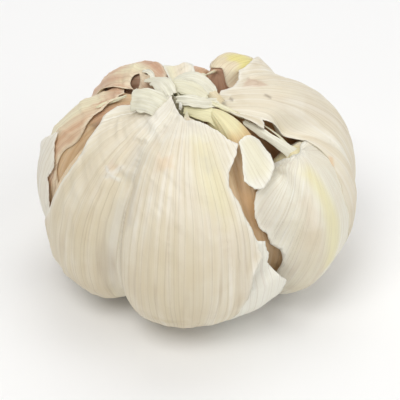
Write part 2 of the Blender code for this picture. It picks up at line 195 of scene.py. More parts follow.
def turned_near(azimuth: np.ndarray, middle: float) -> np.ndarray:
    """The same azimuths, written so that they lie within half a turn of a middle one."""
    return (azimuth - middle + 180) % 360 - 180 + middle


def units(rows: np.ndarray) -> np.ndarray:
    """The rows, each scaled to length 1."""
    return rows / np.linalg.norm(rows, axis=1, keepdims=True)


def quads(index: np.ndarray, flipped: bool = False) -> np.ndarray:
    """Four-cornered faces over rows and columns of point numbers, looking the other way if flipped."""
    a, b, c, d = index[:-1, :-1], index[:-1, 1:], index[1:, 1:], index[1:, :-1]
    return np.stack((a, d, c, b) if flipped else (a, b, c, d), axis=-1).reshape(-1, 4)


def inside(places: np.ndarray, outline: np.ndarray) -> np.ndarray:
    """Whether each place lies in a closed outline.

    Args:
        places: Rows of two coordinates.
        outline: The outline's corners in order.

    Returns:
        One truth value for each place.
    """
    odd = np.zeros(len(places), bool)
    for a, b in zip(outline, np.roll(outline, -1, axis=0)):
        if a[1] == b[1]:
            continue
        crosses = (a[1] > places[:, 1]) != (b[1] > places[:, 1])
        at = a[0] + (places[:, 1] - a[1]) / (b[1] - a[1]) * (b[0] - a[0])
        odd ^= crosses & (places[:, 0] < at)
    return odd


def edge_distance(places: np.ndarray, outline: np.ndarray) -> np.ndarray:
    """Distance from each place to a closed outline.

    Args:
        places: Rows of two coordinates.
        outline: The outline's corners in order.

    Returns:
        One distance for each place.
    """
    nearest = np.full(len(places), np.inf)
    for a, b in zip(outline, np.roll(outline, -1, axis=0)):
        along = b - a
        length = max(float(along @ along), 1e-12)
        share = np.clip((places - a) @ along / length, 0.0, 1.0)
        gap = places - a - share[:, None] * along
        nearest = np.minimum(nearest, np.einsum("ij,ij->i", gap, gap))
    return np.sqrt(nearest)


def curve_through(stops: Sequence[Sequence[float]], count: int) -> np.ndarray:
    """A smooth curve through its stops.

    Args:
        stops: Points, each with any number of coordinates.
        count: How many points to return.

    Returns:
        Rows of coordinates, evenly spread over the stops.
    """
    known = np.array(stops, float)
    if len(known) == 1:
        return np.repeat(known, count, axis=0)
    padded = np.vstack((2 * known[0] - known[1], known, 2 * known[-1] - known[-2]))
    place = np.linspace(0, len(known) - 1, count)
    base = np.minimum(place.astype(int), len(known) - 2)
    u = (place - base)[:, None]
    p0, p1, p2, p3 = (padded[base + k] for k in range(4))
    return 0.5 * (
        2 * p1 + (p2 - p0) * u + (2 * p0 - 5 * p1 + 4 * p2 - p3) * u**2 + (3 * p1 - p0 - 3 * p2 + p3) * u**3
    )


@dataclass(frozen=True)
class Patch:
    """A soft patch of one tint, outlined by azimuths and elevations."""

    tint: Tint
    outline: tuple[Angles, ...]
    strength: float = 1.0
    soft: float = 2.5  # degrees over which its edge fades
    wander: float = 1.0  # degrees that its edge wanders

    BEND = 3  # degrees between two bends of its edge

    def mask(self, azimuth: np.ndarray, elevation: np.ndarray) -> np.ndarray:
        """How strongly the patch shows in each direction.

        Args:
            azimuth: Degrees round the neck.
            elevation: Degrees above the hub.

        Returns:
            Shares from 0 to the patch's strength.
        """
        corners = np.array(self.outline)
        turned = turned_near(azimuth, corners[:, 0].mean())
        shake = noise(hash_of(self.tint.value), turned / self.BEND, elevation / self.BEND) * self.wander
        places = to_map(np.stack((turned, np.clip(elevation + shake, -88, 88)), axis=-1))
        outline = to_map(corners)
        away = np.degrees(edge_distance(places, outline)) * np.cos(np.radians(elevation))
        signed = np.where(inside(places, outline), away, -away)
        return self.strength * smooth_step(signed, -self.soft / 2, self.soft / 2)


@dataclass(frozen=True)
class Crease:
    """A line along which a sheet is pressed in, or raised where its depth is below zero."""

    line: tuple[Angles, ...]
    depth: float  # millimetres
    width: float  # degrees

    STEPS = 6  # points for each point of its line
    FADE = 0.15  # share of its length over which an end fades

    def relief(self, azimuth: np.ndarray, elevation: np.ndarray) -> np.ndarray:
        """Millimetres that it adds in each direction.

        Args:
            azimuth: Degrees round the neck.
            elevation: Degrees above the hub.

        Returns:
            The relief, which fades out at the line's two ends.
        """
        path = curve_through(self.line, self.STEPS * len(self.line))
        azimuth = turned_near(azimuth, path[:, 0].mean())
        nearest, place = np.full(len(azimuth), np.inf), np.zeros(len(azimuth))
        narrow = np.cos(np.radians(elevation))
        for k, (a, e) in enumerate(path):
            away = np.hypot((azimuth - a) * narrow, elevation - e)
            place = np.where(away < nearest, k / (len(path) - 1), place)
            nearest = np.minimum(nearest, away)
        ends = smooth_step(0.5 - np.abs(place - 0.5), 0.0, self.FADE)
        return -self.depth * ends * np.exp(-((nearest / self.width) ** 2))


@dataclass(frozen=True)
class Stroke:
    """A thin painted line of one tint."""

    tint: Tint
    line: tuple[Angles, ...]
    width: float = 0.5  # degrees
    strength: float = 0.5

    def mask(self, azimuth: np.ndarray, elevation: np.ndarray) -> np.ndarray:
        """How strongly the line shows in each direction, from 0 to its strength."""
        return -Crease(self.line, self.strength, self.width).relief(azimuth, elevation)


@dataclass
class Form:
    """A mesh in the making, in millimetres."""

    points: np.ndarray
    faces: np.ndarray
    grain: np.ndarray
    masks: dict[str, np.ndarray] = field(default_factory=dict)
    caps: list[tuple[int, ...]] = field(default_factory=list)

    def normals(self) -> np.ndarray:
        """Unit normals of the points.

        Returns:
            One row for each point.
        """
        corners = self.points[self.faces]
        if self.faces.shape[1] == 4:
            facing = np.cross(corners[:, 2] - corners[:, 0], corners[:, 3] - corners[:, 1])
        else:
            facing = np.cross(corners[:, 1] - corners[:, 0], corners[:, 2] - corners[:, 0])
        total = np.zeros_like(self.points)
        for column in range(self.faces.shape[1]):
            np.add.at(total, self.faces[:, column], facing)
        return total / np.maximum(np.linalg.norm(total, axis=1, keepdims=True), 1e-12)

    def paint(self, patches: Sequence["Patch | Stroke"]) -> None:
        """Fills the masks of every tint from patches.

        Args:
            patches: What to paint.
        """
        azimuth, elevation = angles_of(self.points)
        for tint in Tint:
            total = np.zeros(len(self.points))
            for patch in patches:
                if patch.tint is tint:
                    total = np.maximum(total, patch.mask(azimuth, elevation))
            self.masks[tint.value] = np.maximum(self.masks.get(tint.value, 0.0), total)

    def thickened(self, thickness: float) -> "Form":
        """A closed sheet whose outer face is this form.

        Args:
            thickness: Millimetres.

        Returns:
            The closed form.
        """
        count = len(self.points)
        inner = self.points - self.normals() * thickness
        sides = self.faces.shape[1]
        edges = np.concatenate([self.faces[:, [k, (k + 1) % sides]] for k in range(sides)])
        keys = np.sort(edges, axis=1)
        _, index, number = np.unique(keys, axis=0, return_inverse=True, return_counts=True)
        rim = edges[number[index.reshape(-1)] == 1]
        a, b = rim[:, 0], rim[:, 1]
        if sides == 3:
            walls = np.concatenate((np.stack((b, a, a + count), 1), np.stack((b, a + count, b + count), 1)))
        else:
            walls = np.stack((b, a, a + count, b + count), 1)
        faces = np.concatenate((self.faces, self.faces[:, ::-1] + count, walls))
        masks = {name: np.tile(mask, 2) for name, mask in self.masks.items()}
        return Form(np.vstack((self.points, inner)), faces, np.tile(self.grain, (2, 1)), masks)

    def to_object(
        self, name: str, finish: bpy.types.Material, slot: Slot, replaced: Sequence[str] = ()
    ) -> None:
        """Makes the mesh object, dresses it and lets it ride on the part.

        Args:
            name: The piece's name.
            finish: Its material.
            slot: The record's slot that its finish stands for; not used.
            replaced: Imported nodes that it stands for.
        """
        mesh = bpy.data.meshes.new(name)
        faces = self.faces.tolist() + [list(cap) for cap in self.caps]
        mesh.from_pydata((self.points * MM).tolist(), [], faces)
        mesh.shade_smooth()
        layer = mesh.uv_layers.new(name="grain")
        corners = np.empty(len(mesh.loops), np.int32)
        mesh.loops.foreach_get("vertex_index", corners)
        layer.data.foreach_set("uv", self.grain[corners].astype(np.float32).ravel())
        for mask_name, mask in self.masks.items():
            attribute = mesh.attributes.new(mask_name, "FLOAT", "POINT")
            attribute.data.foreach_set("value", mask.astype(np.float32))
        mesh.materials.append(finish)
        obj = bpy.data.objects.new(name, mesh)
        bpy.context.scene.collection.objects.link(obj)
        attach(obj, "root")
        if replaced:
            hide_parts(*replaced)
        log.info("%s: %d points", name, len(mesh.vertices))


class Socket:
    """A shader value that takes part in Python expressions."""

    def __init__(self, graph: "Graph", output: bpy.types.NodeSocket) -> None:
        """Wraps an output of a node in a graph."""
        self.graph = graph
        self.output = output

    def _math(self, operation: str, *values: "Socket | float") -> "Socket":
        """Adds one Math node over these values."""
        made = self.graph.add("ShaderNodeMath", {"operation": operation}, dict(enumerate(values)))
        return self.graph.out(made, 0)

    def __add__(self, other: "Socket | float") -> "Socket":
        """Sum."""
        return self._math("ADD", self, other)

    __radd__ = __add__

    def __sub__(self, other: "Socket | float") -> "Socket":
        """Difference."""
        return self._math("SUBTRACT", self, other)

    def __rsub__(self, other: float) -> "Socket":
        """Difference from a number."""
        return self._math("SUBTRACT", other, self)

    def __mul__(self, other: "Socket | float") -> "Socket":
        """Product."""
        return self._math("MULTIPLY", self, other)

    __rmul__ = __mul__

    def __abs__(self) -> "Socket":
        """Size without sign."""
        return self._math("ABSOLUTE", self)

    def clamped(self) -> "Socket":
        """The value kept from 0 to 1."""
        return self._math("MINIMUM", self._math("MAXIMUM", self, 0.0), 1.0)

    def eased(self, low: float, high: float) -> "Socket":
        """Eases from 0 at low to 1 at high.

        Args:
            low: Value that gives 0.
            high: Value that gives 1.

        Returns:
            The eased value.
        """
        settings = {"interpolation_type": "SMOOTHSTEP"}
        made = self.graph.add(
            "ShaderNodeMapRange", settings, {"Value": self, "From Min": low, "From Max": high}
        )
        return self.graph.out(made, "Result")


class Graph:
    """The node tree of one material."""

    SHARE, FIRST, SECOND, MIXED = 0, 6, 7, 2  # a Mix node's sockets when it mixes colours

    def __init__(self, name: str) -> None:
        """Starts an empty material.

        Args:
            name: The material's name.
        """
        self.material = bpy.data.materials.new(name)
        self.material.use_nodes = True
        self.tree = self.material.node_tree
        self.tree.nodes.clear()

    def add(self, kind: str, settings: dict | None = None, sockets: dict | None = None) -> bpy.types.Node:
        """Adds a node, applies its settings and then fills its sockets.

        Args:
            kind: The node's type.
            settings: Properties; the key "stops" holds a colour ramp's stops.
            sockets: Input name or index to a value or a Socket.

        Returns:
            The node.
        """
        made = self.tree.nodes.new(kind)
        for key, value in (settings or {}).items():
            if key == "stops":
                stops = made.color_ramp.elements
                while len(stops) < len(value):
                    stops.new(0.5)
                for stop, (position, colour) in zip(stops, value):
                    stop.position, stop.color = position, (*colour, 1.0)
            else:
                setattr(made, key, value)
        for key, value in (sockets or {}).items():
            if isinstance(value, Socket):
                self.tree.links.new(value.output, made.inputs[key])
            elif isinstance(value, tuple) and made.inputs[key].type == "RGBA":
                made.inputs[key].default_value = (*value[:3], 1.0)
            else:
                made.inputs[key].default_value = value
        return made

    def out(self, made: bpy.types.Node, key: "str | int") -> Socket:
        """The output of a node that has this name or number."""
        return Socket(self, made.outputs[key])

    def mask(self, name: str) -> Socket:
        """A number that is painted on the mesh under this name."""
        return self.out(self.add("ShaderNodeAttribute", {"attribute_name": name}), "Fac")

    def stretched(self, across: float, along: float, shift: float = 0.0) -> Socket:
        """The grain's coordinates, scaled across and along it.

        Args:
            across: Features a unit across the grain.
            along: Features a unit along it.
            shift: Offset that makes one pattern unlike another.

        Returns:
            The coordinates.
        """
        grain = self.out(self.add("ShaderNodeUVMap", {"uv_map": "grain"}), "UV")
        settings = {"operation": "MULTIPLY_ADD"}
        made = self.add(
            "ShaderNodeVectorMath", settings, {0: grain, 1: (across, along, 1.0), 2: (shift, shift, shift)}
        )
        return self.out(made, "Vector")

    def cloud(self, where: Socket, scale: float = 1.0, detail: float = 2.0, warp: float = 0.0) -> Socket:
        """Soft noise from 0 to 1, with scale in features a unit and detail in finer layers."""
        sockets = {"Vector": where, "Scale": scale, "Detail": detail, "Distortion": warp}
        return self.out(self.add("ShaderNodeTexNoise", None, sockets), "Fac")

    def threads(self, where: Socket, width: float) -> Socket:
        """Thin lines along the grain, 1 on a line, with their half width in noise height."""
        return 1.0 - abs(self.cloud(where, 1.0, 0.0) - 0.5).eased(0.0, width)

    def blend(self, first: "Socket | Colour", second: "Socket | Colour", share: "Socket | float") -> Socket:
        """Mixes two colours.

        Args:
            first: Colour at share 0.
            second: Colour at share 1.
            share: How much of the second.

        Returns:
            The mixed colour.
        """
        made = self.add("ShaderNodeMix", {"data_type": "RGBA"})
        for key, value in ((self.SHARE, share), (self.FIRST, first), (self.SECOND, second)):
            if isinstance(value, Socket):
                self.tree.links.new(value.output, made.inputs[key])
            else:
                made.inputs[key].default_value = (*value, 1.0) if isinstance(value, tuple) else value
        return self.out(made, self.MIXED)

    def object_place(self) -> Socket:
        """The point's place in metres."""
        return self.out(self.add("ShaderNodeTexCoord"), "Object")

    def close(
        self, colour: Socket, roughness: "Socket | float", height: Socket, depth: float, glow: float = 0.0
    ) -> bpy.types.Material:
        """Joins everything to a surface shader.

        Args:
            colour: Base colour.
            roughness: Roughness.
            height: Relief from 0 to 1.
            depth: Relief's depth in metres.
            glow: Share of light that scatters under the surface.

        Returns:
            The finished material.
        """
        bump = self.add("ShaderNodeBump", None, {"Height": height, "Strength": 1.0, "Distance": depth})
        sockets = {
            "Base Color": colour,
            "Roughness": roughness,
            "Normal": self.out(bump, "Normal"),
            "Subsurface Weight": glow,
            "Subsurface Radius": (1.0, 0.72, 0.45),
            "Subsurface Scale": 0.0022,
            "Specular IOR Level": 0.35,
        }
        shader = self.add("ShaderNodeBsdfPrincipled", None, sockets)
        self.add("ShaderNodeOutputMaterial", None, {"Surface": self.out(shader, "BSDF")})
        return self.material


@dataclass(frozen=True)
class Skin:
    """A dry plant skin: a ground colour with streaks, veins and painted patches."""

    name: str
    ground: Colour
    light: Colour  # of the paler streaks
    warm: Colour  # of the broad warm streaks
    vein: Colour
    streaks: float = 0.5  # strength of the broad streaks
    veins: float = 0.35
    touching: float = 0.5  # how far the clove under it shows where it lies close
    across: float = 0.34  # veins a degree of grain
    along: float = 0.006
    roughness: float = 0.5
    relief: float = 0.00007  # metres
    glow: float = 0.15  # share of light that scatters under its surface

    VEIN_WIDTH, HAIR_WIDTH = 0.035, 0.06  # in noise height
    BLOTCHES, CRINKLES = 150.0, 620.0  # features a metre

    def material(self) -> bpy.types.Material:
        """Builds the material: streaks and veins along the grain, each layer at a shift of its own.

        Returns:
            The material.
        """
        graph = Graph(self.name)

        def layer(across: float, along: float, shift: float) -> Socket:
            """Coordinates along the grain, as multiples of the skin's own scales."""
            return graph.stretched(self.across * across, self.along * along, shift)

        broad = graph.cloud(layer(0.3, 3.5, 3.0), 1.0, 2.0, 0.4)
        middle = graph.cloud(layer(1.3, 3.0, 7.0), 1.0, 1.0)
        fine = graph.cloud(layer(6.0, 16.0, 11.0), 1.0, 2.0)
        lines = graph.threads(layer(1.0, 1.0, 17.0), self.VEIN_WIDTH)
        hairs = graph.threads(layer(2.7, 2.5, 23.0), self.HAIR_WIDTH)
        blotch = graph.cloud(graph.object_place(), self.BLOTCHES, 3.0, 0.5)
        colour = graph.blend(self.ground, self.light, middle.eased(0.35, 0.8))
        colour = graph.blend(colour, self.warm, broad.eased(0.42, 0.75) * self.streaks)
        stain = graph.mask("touch") * (0.35 + 0.65 * blotch.eased(0.35, 0.7)) * self.touching
        colour = graph.blend(colour, self.warm, (stain + fine.eased(0.5, 0.9) * 0.12).clamped())
        for tint, shade in TINTS.items():
            painted = graph.mask(tint.value)
            colour = graph.blend(colour, shade, (painted * (0.62 + 0.38 * middle + 0.3 * broad)).clamped())
        colour = graph.blend(colour, self.light, graph.mask("rim") * 0.75)
        colour = graph.blend(colour, self.vein, (lines * (0.3 + 0.7 * blotch) + hairs * 0.28) * self.veins)
        roughness = self.roughness + 0.14 * (fine - 0.5)
        crinkle = graph.cloud(graph.object_place(), self.CRINKLES, 2.0, 0.8)
        height = 0.25 * fine + 0.2 * middle + 0.45 * lines + 0.15 * hairs + 0.8 * crinkle
        return graph.close(colour, roughness, height, self.relief, self.glow)


@dataclass(frozen=True)
class Crust:
    """The corky crust of the root plate and its root stubs."""

    name: str
    pale: Colour = (0.52, 0.40, 0.25)
    dark: Colour = (0.16, 0.095, 0.045)
    fibre: Colour = (0.66, 0.55, 0.38)
    relief: float = 0.00035  # metres

    LUMPS, CRUMBS = 420.0, 1900.0  # features a metre

    def material(self) -> bpy.types.Material:
        """Builds the material: coarse and fine crumbs, with fibres along the grain.

        Returns:
            The material.
        """
        graph = Graph(self.name)
        place = graph.object_place()
        coarse = graph.cloud(place, self.LUMPS, 4.0, 0.6)
        fine = graph.cloud(place, self.CRUMBS, 3.0)
        fibres = graph.cloud(graph.stretched(9.0, 0.6), 1.0, 3.0)
        colour = graph.blend(self.dark, self.pale, coarse.eased(0.32, 0.66))
        colour = graph.blend(colour, self.fibre, fibres.eased(0.5, 0.8) * 0.6)
        colour = graph.blend(colour, self.dark, fine.eased(0.55, 0.8) * 0.5)
        return graph.close(colour, 0.86 + 0.1 * (fine - 0.5), coarse + 0.4 * fine, self.relief)


PALE_SKIN = Skin(
    "pale clove skin", (0.78, 0.70, 0.52), (0.86, 0.81, 0.67), (0.64, 0.46, 0.29), (0.50, 0.34, 0.22),
    touching=0.0,
)
TAN_SKIN = Skin(
    "tan clove skin", (0.71, 0.50, 0.29), (0.80, 0.62, 0.41), (0.56, 0.36, 0.18), (0.40, 0.24, 0.12),
    streaks=0.45, veins=0.3, touching=0.0, roughness=0.42, glow=0.12,
)
RUSSET_SKIN = Skin(
    "russet clove skin", (0.62, 0.36, 0.195), (0.73, 0.49, 0.31), (0.48, 0.25, 0.13), (0.32, 0.15, 0.08),
    streaks=0.6, veins=0.45, touching=0.0, roughness=0.42, glow=0.08,
)
ROSE_SKIN = Skin(
    "rose clove skin", (0.67, 0.42, 0.285), (0.80, 0.62, 0.46), (0.50, 0.255, 0.165), (0.38, 0.18, 0.12),
    streaks=0.7, veins=0.5, touching=0.0, roughness=0.44, glow=0.12,
)
LOOSE_SKIN = Skin(
    "loose rose skin", (0.75, 0.545, 0.375), (0.87, 0.77, 0.58), (0.60, 0.36, 0.215), (0.43, 0.23, 0.14),
    streaks=0.7, veins=0.6, touching=0.15, roughness=0.45, glow=0.0,
)
OUTER_PAPER = Skin(
    "outer wrapper paper", (0.80, 0.74, 0.59), (0.885, 0.85, 0.755), (0.69, 0.575, 0.40), (0.47, 0.37, 0.25),
    streaks=0.3, veins=0.42, touching=0.42, roughness=0.52, glow=0.0,
)
INNER_PAPER = Skin(
    "inner white paper", (0.87, 0.845, 0.71), (0.92, 0.905, 0.81), (0.72, 0.61, 0.45), (0.54, 0.43, 0.33),
    streaks=0.25, veins=0.38, touching=0.3, roughness=0.5, glow=0.0,
)
SHEATH_PAPER = Skin(
    "dried sheath", (0.79, 0.76, 0.55), (0.84, 0.82, 0.67), (0.66, 0.58, 0.35), (0.48, 0.40, 0.25),
    streaks=0.5, veins=0.5, touching=0.0, across=0.5, along=0.012, roughness=0.55, glow=0.0,
)


class Shelf:
    """The finishes, each made once."""

    def __init__(self) -> None:
        """Starts with no finish made."""
        self.made: dict[str, bpy.types.Material] = {}

    def get(self, finish: "Skin | Crust") -> bpy.types.Material:
        """The material of a finish, made when it is first asked for.

        Args:
            finish: The finish.

        Returns:
            Its material.
        """
        if finish.name not in self.made:
            self.made[finish.name] = finish.material()
        return self.made[finish.name]


@dataclass
class Clove:
    """One clove, lofted from its foot on the root plate to the end of its dried tail."""

    name: str
    sector: Angles  # azimuths of its cell at the foot
    tip_sector: Angles  # and at the tip
    reach: float  # distance of its belly from the neck's axis
    width: float
    tip: Angles  # distance and height of its upper end
    shoulder: float  # height of the handle that rounds its shoulder
    inner: float  # distance of its inner side
    lean: float  # how far its tip lies to one side
    tail: tuple[tuple[float, float, float], ...]  # distance, height and side of the dried tail's points
    slot: Slot
    finish: Skin
    patches: tuple[Patch, ...] = ()
    rings: int = 84  # up its body
    tail_rings: int = 9  # between two points of the tail
    sides: int = 84  # round it
    foot_inner: Angles = (5.8, 5.4)  # distance and height
    foot_outer: Angles = (10.6, 3.8)
    dents: float = 0.16  # depth of its uneven surface
    inset: float = 0.0  # how far its drawn skin lies under the form that paper lies on

    SLANT = 1.5  # how far the outer handles are moved from the belly
    LOW_HANDLE = -5.4  # height of the lower outer handle
    INNER_HANDLES = (12, 30)  # heights of the inner handles
    SQUARENESS = 0.9  # of its cross-section, where 1 is an ellipse
    CELL_POWER = 6  # how sharply it flattens against its cell
    TAIL_WIDTH = 0.8  # half of it, where the tail starts

    def _sections(self) -> np.ndarray:
        """Rows of t, centre, half depth, half width and side shift up the clove.

        Returns:
            One row for each ring.
        """
        # the outer curve's handles lie so far out that its middle comes to the reach
        handle = (8 * self.reach - self.foot_outer[0] - self.tip[0]) / 6
        even = np.linspace(0, 1, self.rings)
        t = 0.5 * even + 0.25 * (1 - np.cos(np.pi * even))
        handles = (handle + self.SLANT, self.LOW_HANDLE), (handle - self.SLANT, self.shoulder)
        outer = self._cubic(self.foot_outer, *handles, self.tip, t)
        inner = self._cubic(
            self.foot_inner, *((self.inner, height) for height in self.INNER_HANDLES), self.tip, t
        )
        swell = 0.3 * (1 - t) ** 6 + np.sin(np.pi * np.clip(t, 0, 1) ** 0.9) ** 0.65 + 0.06
        half_depth = (outer - inner) / 2 + np.array((0.0, 0.5)) * (t**4)[:, None]
        body = np.column_stack(
            (t, (outer + inner) / 2, half_depth, swell * self.width / 2, self.lean * t**1.5)
        )
        return np.vstack((body, self._tail_sections(body[-1])))

    def _tail_sections(self, last: np.ndarray) -> np.ndarray:
        """The sections beyond the body, thinning to the tail's end.

        Args:
            last: The body's last section.

        Returns:
            One row for each ring.
        """
        stops = [last]
        centre, half_depth = last[1:3], last[3:5]
        for n, (distance, height, side) in enumerate(self.tail):
            share = (n + 1) / len(self.tail)
            along = np.array((distance, height)) - centre
            across = np.array((-along[1], along[0])) / np.linalg.norm(along)
            across *= math.copysign(0.45 - 0.15 * share, across @ half_depth)
            centre, half_depth = np.array((distance, height)), across
            stops.append(np.array((1.0, *centre, *half_depth, self.TAIL_WIDTH * (1 - 0.55 * share), side)))
        return curve_through(stops, self.tail_rings * len(self.tail) + 1)[1:]

    @staticmethod
    def _cubic(start: Angles, handle_a: Angles, handle_b: Angles, end: Angles, t: np.ndarray) -> np.ndarray:
        """Points of a cubic curve.

        Args:
            start: Its first point.
            handle_a: The handle of its first point.
            handle_b: The handle of its last point.
            end: Its last point.
            t: Places from 0 to 1.

        Returns:
            One row for each place.
        """
        a, b, c, d = (np.array(p, float) for p in (start, handle_a, handle_b, end))
        u, v = (1 - t)[:, None], t[:, None]
        return u**3 * a + 3 * u * u * v * b + 3 * u * v * v * c + v**3 * d

    def form(self) -> Form:
        """The clove's finished mesh, with its grain running from foot to tip.

        Returns:
            The closed form.
        """
        sections = self._sections()
        turn = 2 * np.pi * np.arange(self.sides + 1) / self.sides - np.pi
        t, depth, width, side = sections[:, :1], sections[:, 3:5], sections[:, 5:6], sections[:, 6:7]
        c, s = np.cos(turn), np.sin(turn)
        full_c, full_s = (np.sign(wave) * np.abs(wave) ** self.SQUARENESS for wave in (c, s))
        distance = sections[:, 1:2] + depth[:, :1] * full_c
        height = sections[:, 2:3] + depth[:, 1:2] * full_c
        low, high = (a + (b - a) * t**3 for a, b in zip(self.sector, self.tip_sector))
        azimuth, half_angle = np.radians((low + high) / 2), np.radians((high - low) / 2)
        across = width * full_s * (0.86 + 0.14 * c) + side  # narrower on the inner side
        room = np.maximum(distance, 1.0) * np.tan(half_angle) - GAP / 2 / np.cos(half_angle)
        across = across / (1 + np.abs(across / room) ** self.CELL_POWER) ** (1 / self.CELL_POWER)
        x = np.cos(azimuth) * distance - np.sin(azimuth) * across
        y = np.sin(azimuth) * distance + np.cos(azimuth) * across
        points = np.stack((x, y, np.broadcast_to(height, x.shape)), axis=-1).reshape(-1, 3)
        rows, columns = x.shape
        index = np.arange(rows * columns).reshape(rows, columns)
        up = np.repeat(np.arange(rows) / self.rings, columns)
        around = np.degrees(np.tile(turn, rows))
        caps = [tuple(index[0, :-1][::-1]), tuple(index[-1, :-1])]
        made = Form(points, quads(index), np.column_stack((around * 0.4, up * 60)), caps=caps)
        seam = index[:, -1]
        made.points = self._uneven(made, around, up)
        made.points[seam] = made.points[index[:, 0]]
        made.masks[Tint.CREAM.value] = 0.8 * smooth_step(up, 0.97, 1.03)
        made.paint(self.patches)
        return made

    def _uneven(self, made: Form, around: np.ndarray, up: np.ndarray) -> np.ndarray:
        """Points moved a little along their normals: long ridges and shallow dents.

        Args:
            made: The smooth clove.
            around: Degrees round it.
            up: Share of its body's height.

        Returns:
            The points.
        """
        seed = hash_of(self.name)
        ridges = noise(seed, around / 9, up * 2.5) + 0.5 * noise(seed + 1, around / 4, up * 4)
        dents = noise(seed + 2, *(made.points / 7).T)
        fade = smooth_step(up, 0.02, 0.15) * smooth_step(1.02 - up, 0.0, 0.2)
        fade = fade * smooth_step(178 - np.abs(around), 0, 30)
        return made.points + made.normals() * (self.dents * fade * (0.6 * ridges + dents))[:, None]

    def dress(self, shelf: Shelf) -> Form:
        """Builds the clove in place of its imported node.

        Args:
            shelf: The finishes.

        Returns:
            The form, for the paper to lie on.
        """
        made = self.form()
        drawn = Form(made.points - made.normals() * self.inset, made.faces, made.grain, made.masks, made.caps)
        drawn.to_object(self.name + "_skin", shelf.get(self.finish), self.slot, (self.name,))
        return made


class Ground:
    """What a sheet of paper lies on, measured from the hub."""

    STEP = 1.5  # degrees between two measured directions
    LOWEST, HIGHEST = -66.0, 88.5  # degrees
    FAR = 90.0  # millimetres from the hub, where its rays start
    SMOOTHINGS = 2  # after it is pulled

    def __init__(self, forms: Sequence[Form]) -> None:
        """Gathers forms into one search tree and measures it.

        Args:
            forms: What lies under the sheet.
        """
        points, faces, start = [], [], 0
        for made in forms:
            points += made.points.tolist()
            faces += (made.faces + start).tolist()
            start += len(made.points)
        self.tree = BVHTree.FromPolygons(points, faces)
        azimuths = np.arange(0, 360, self.STEP)
        elevations = np.arange(self.LOWEST, self.HIGHEST + 0.1, self.STEP)
        grid = np.stack(np.meshgrid(azimuths, elevations), axis=-1)
        self.shape = grid.shape[:2]
        self.bare = self.outermost(grid[..., 0].ravel(), grid[..., 1].ravel()).reshape(self.shape)

    def outermost(self, azimuth: np.ndarray, elevation: np.ndarray) -> np.ndarray:
        """Distances from the hub to the outermost surface.

        Args:
            azimuth: Degrees round the neck.
            elevation: Degrees above the hub.

        Returns:
            One distance for each direction, 0 where nothing is met.
        """
        hub, found = Vector(HUB), []
        for ray in direction(azimuth, elevation):
            ray = Vector(ray)
            hit = self.tree.ray_cast(hub + ray * self.FAR, -ray)[3]
            found.append(self.FAR - hit if hit else 0.0)
        return np.array(found)

    def pulled(self, passes: int) -> np.ndarray:
        """Distances of paper pulled over it.

        Args:
            passes: How often it is evened out: more passes bridge the grooves more tightly.

        Returns:
            One distance for each measured direction.
        """
        sheet = self.bare.copy()
        for _ in range(passes):
            above = np.vstack((sheet[1:], sheet[-1:]))
            below = np.vstack((sheet[:1], sheet[:-1]))
            mean = (above + below + np.roll(sheet, 1, axis=1) + np.roll(sheet, -1, axis=1)) / 4
            sheet = np.maximum(self.bare, mean)
        for _ in range(self.SMOOTHINGS):
            sheet = (sheet + np.roll(sheet, 1, axis=1) + np.roll(sheet, -1, axis=1)) / 3
            sheet[1:-1] = (sheet[:-2] + sheet[1:-1] + sheet[2:]) / 3
        return sheet

    def read(self, sheet: np.ndarray, azimuth: np.ndarray, elevation: np.ndarray) -> np.ndarray:
        """Distances between the measured directions, by smooth interpolation.

        Args:
            sheet: Distances as pulled gives them.
            azimuth: Degrees round the neck.
            elevation: Degrees above the hub.

        Returns:
            One distance for each direction.
        """
        rows, columns = self.shape
        row = np.clip((elevation - self.LOWEST) / self.STEP, 1, rows - 2.001)
        column = (azimuth % 360) / self.STEP
        i, j = row.astype(int), column.astype(int)
        u, v = row - i, column - j
        total = np.zeros(len(azimuth))
        for di, wi in zip(range(-1, 3), self._weights(u)):
            for dj, wj in zip(range(-1, 3), self._weights(v)):
                total += wi * wj * sheet[np.clip(i + di, 0, rows - 1), (j + dj) % columns]
        return total

    @staticmethod
    def _weights(u: np.ndarray) -> tuple[np.ndarray, ...]:
        """Weights of the four neighbours in a smooth interpolation.

        Args:
            u: Share of the way from the second to the third.

        Returns:
            One array for each neighbour.
        """
        return (
            (-u + 2 * u**2 - u**3) / 2,
            (2 - 5 * u**2 + 3 * u**3) / 2,
            (u + 4 * u**2 - 3 * u**3) / 2,
            (u**3 - u**2) / 2,
        )


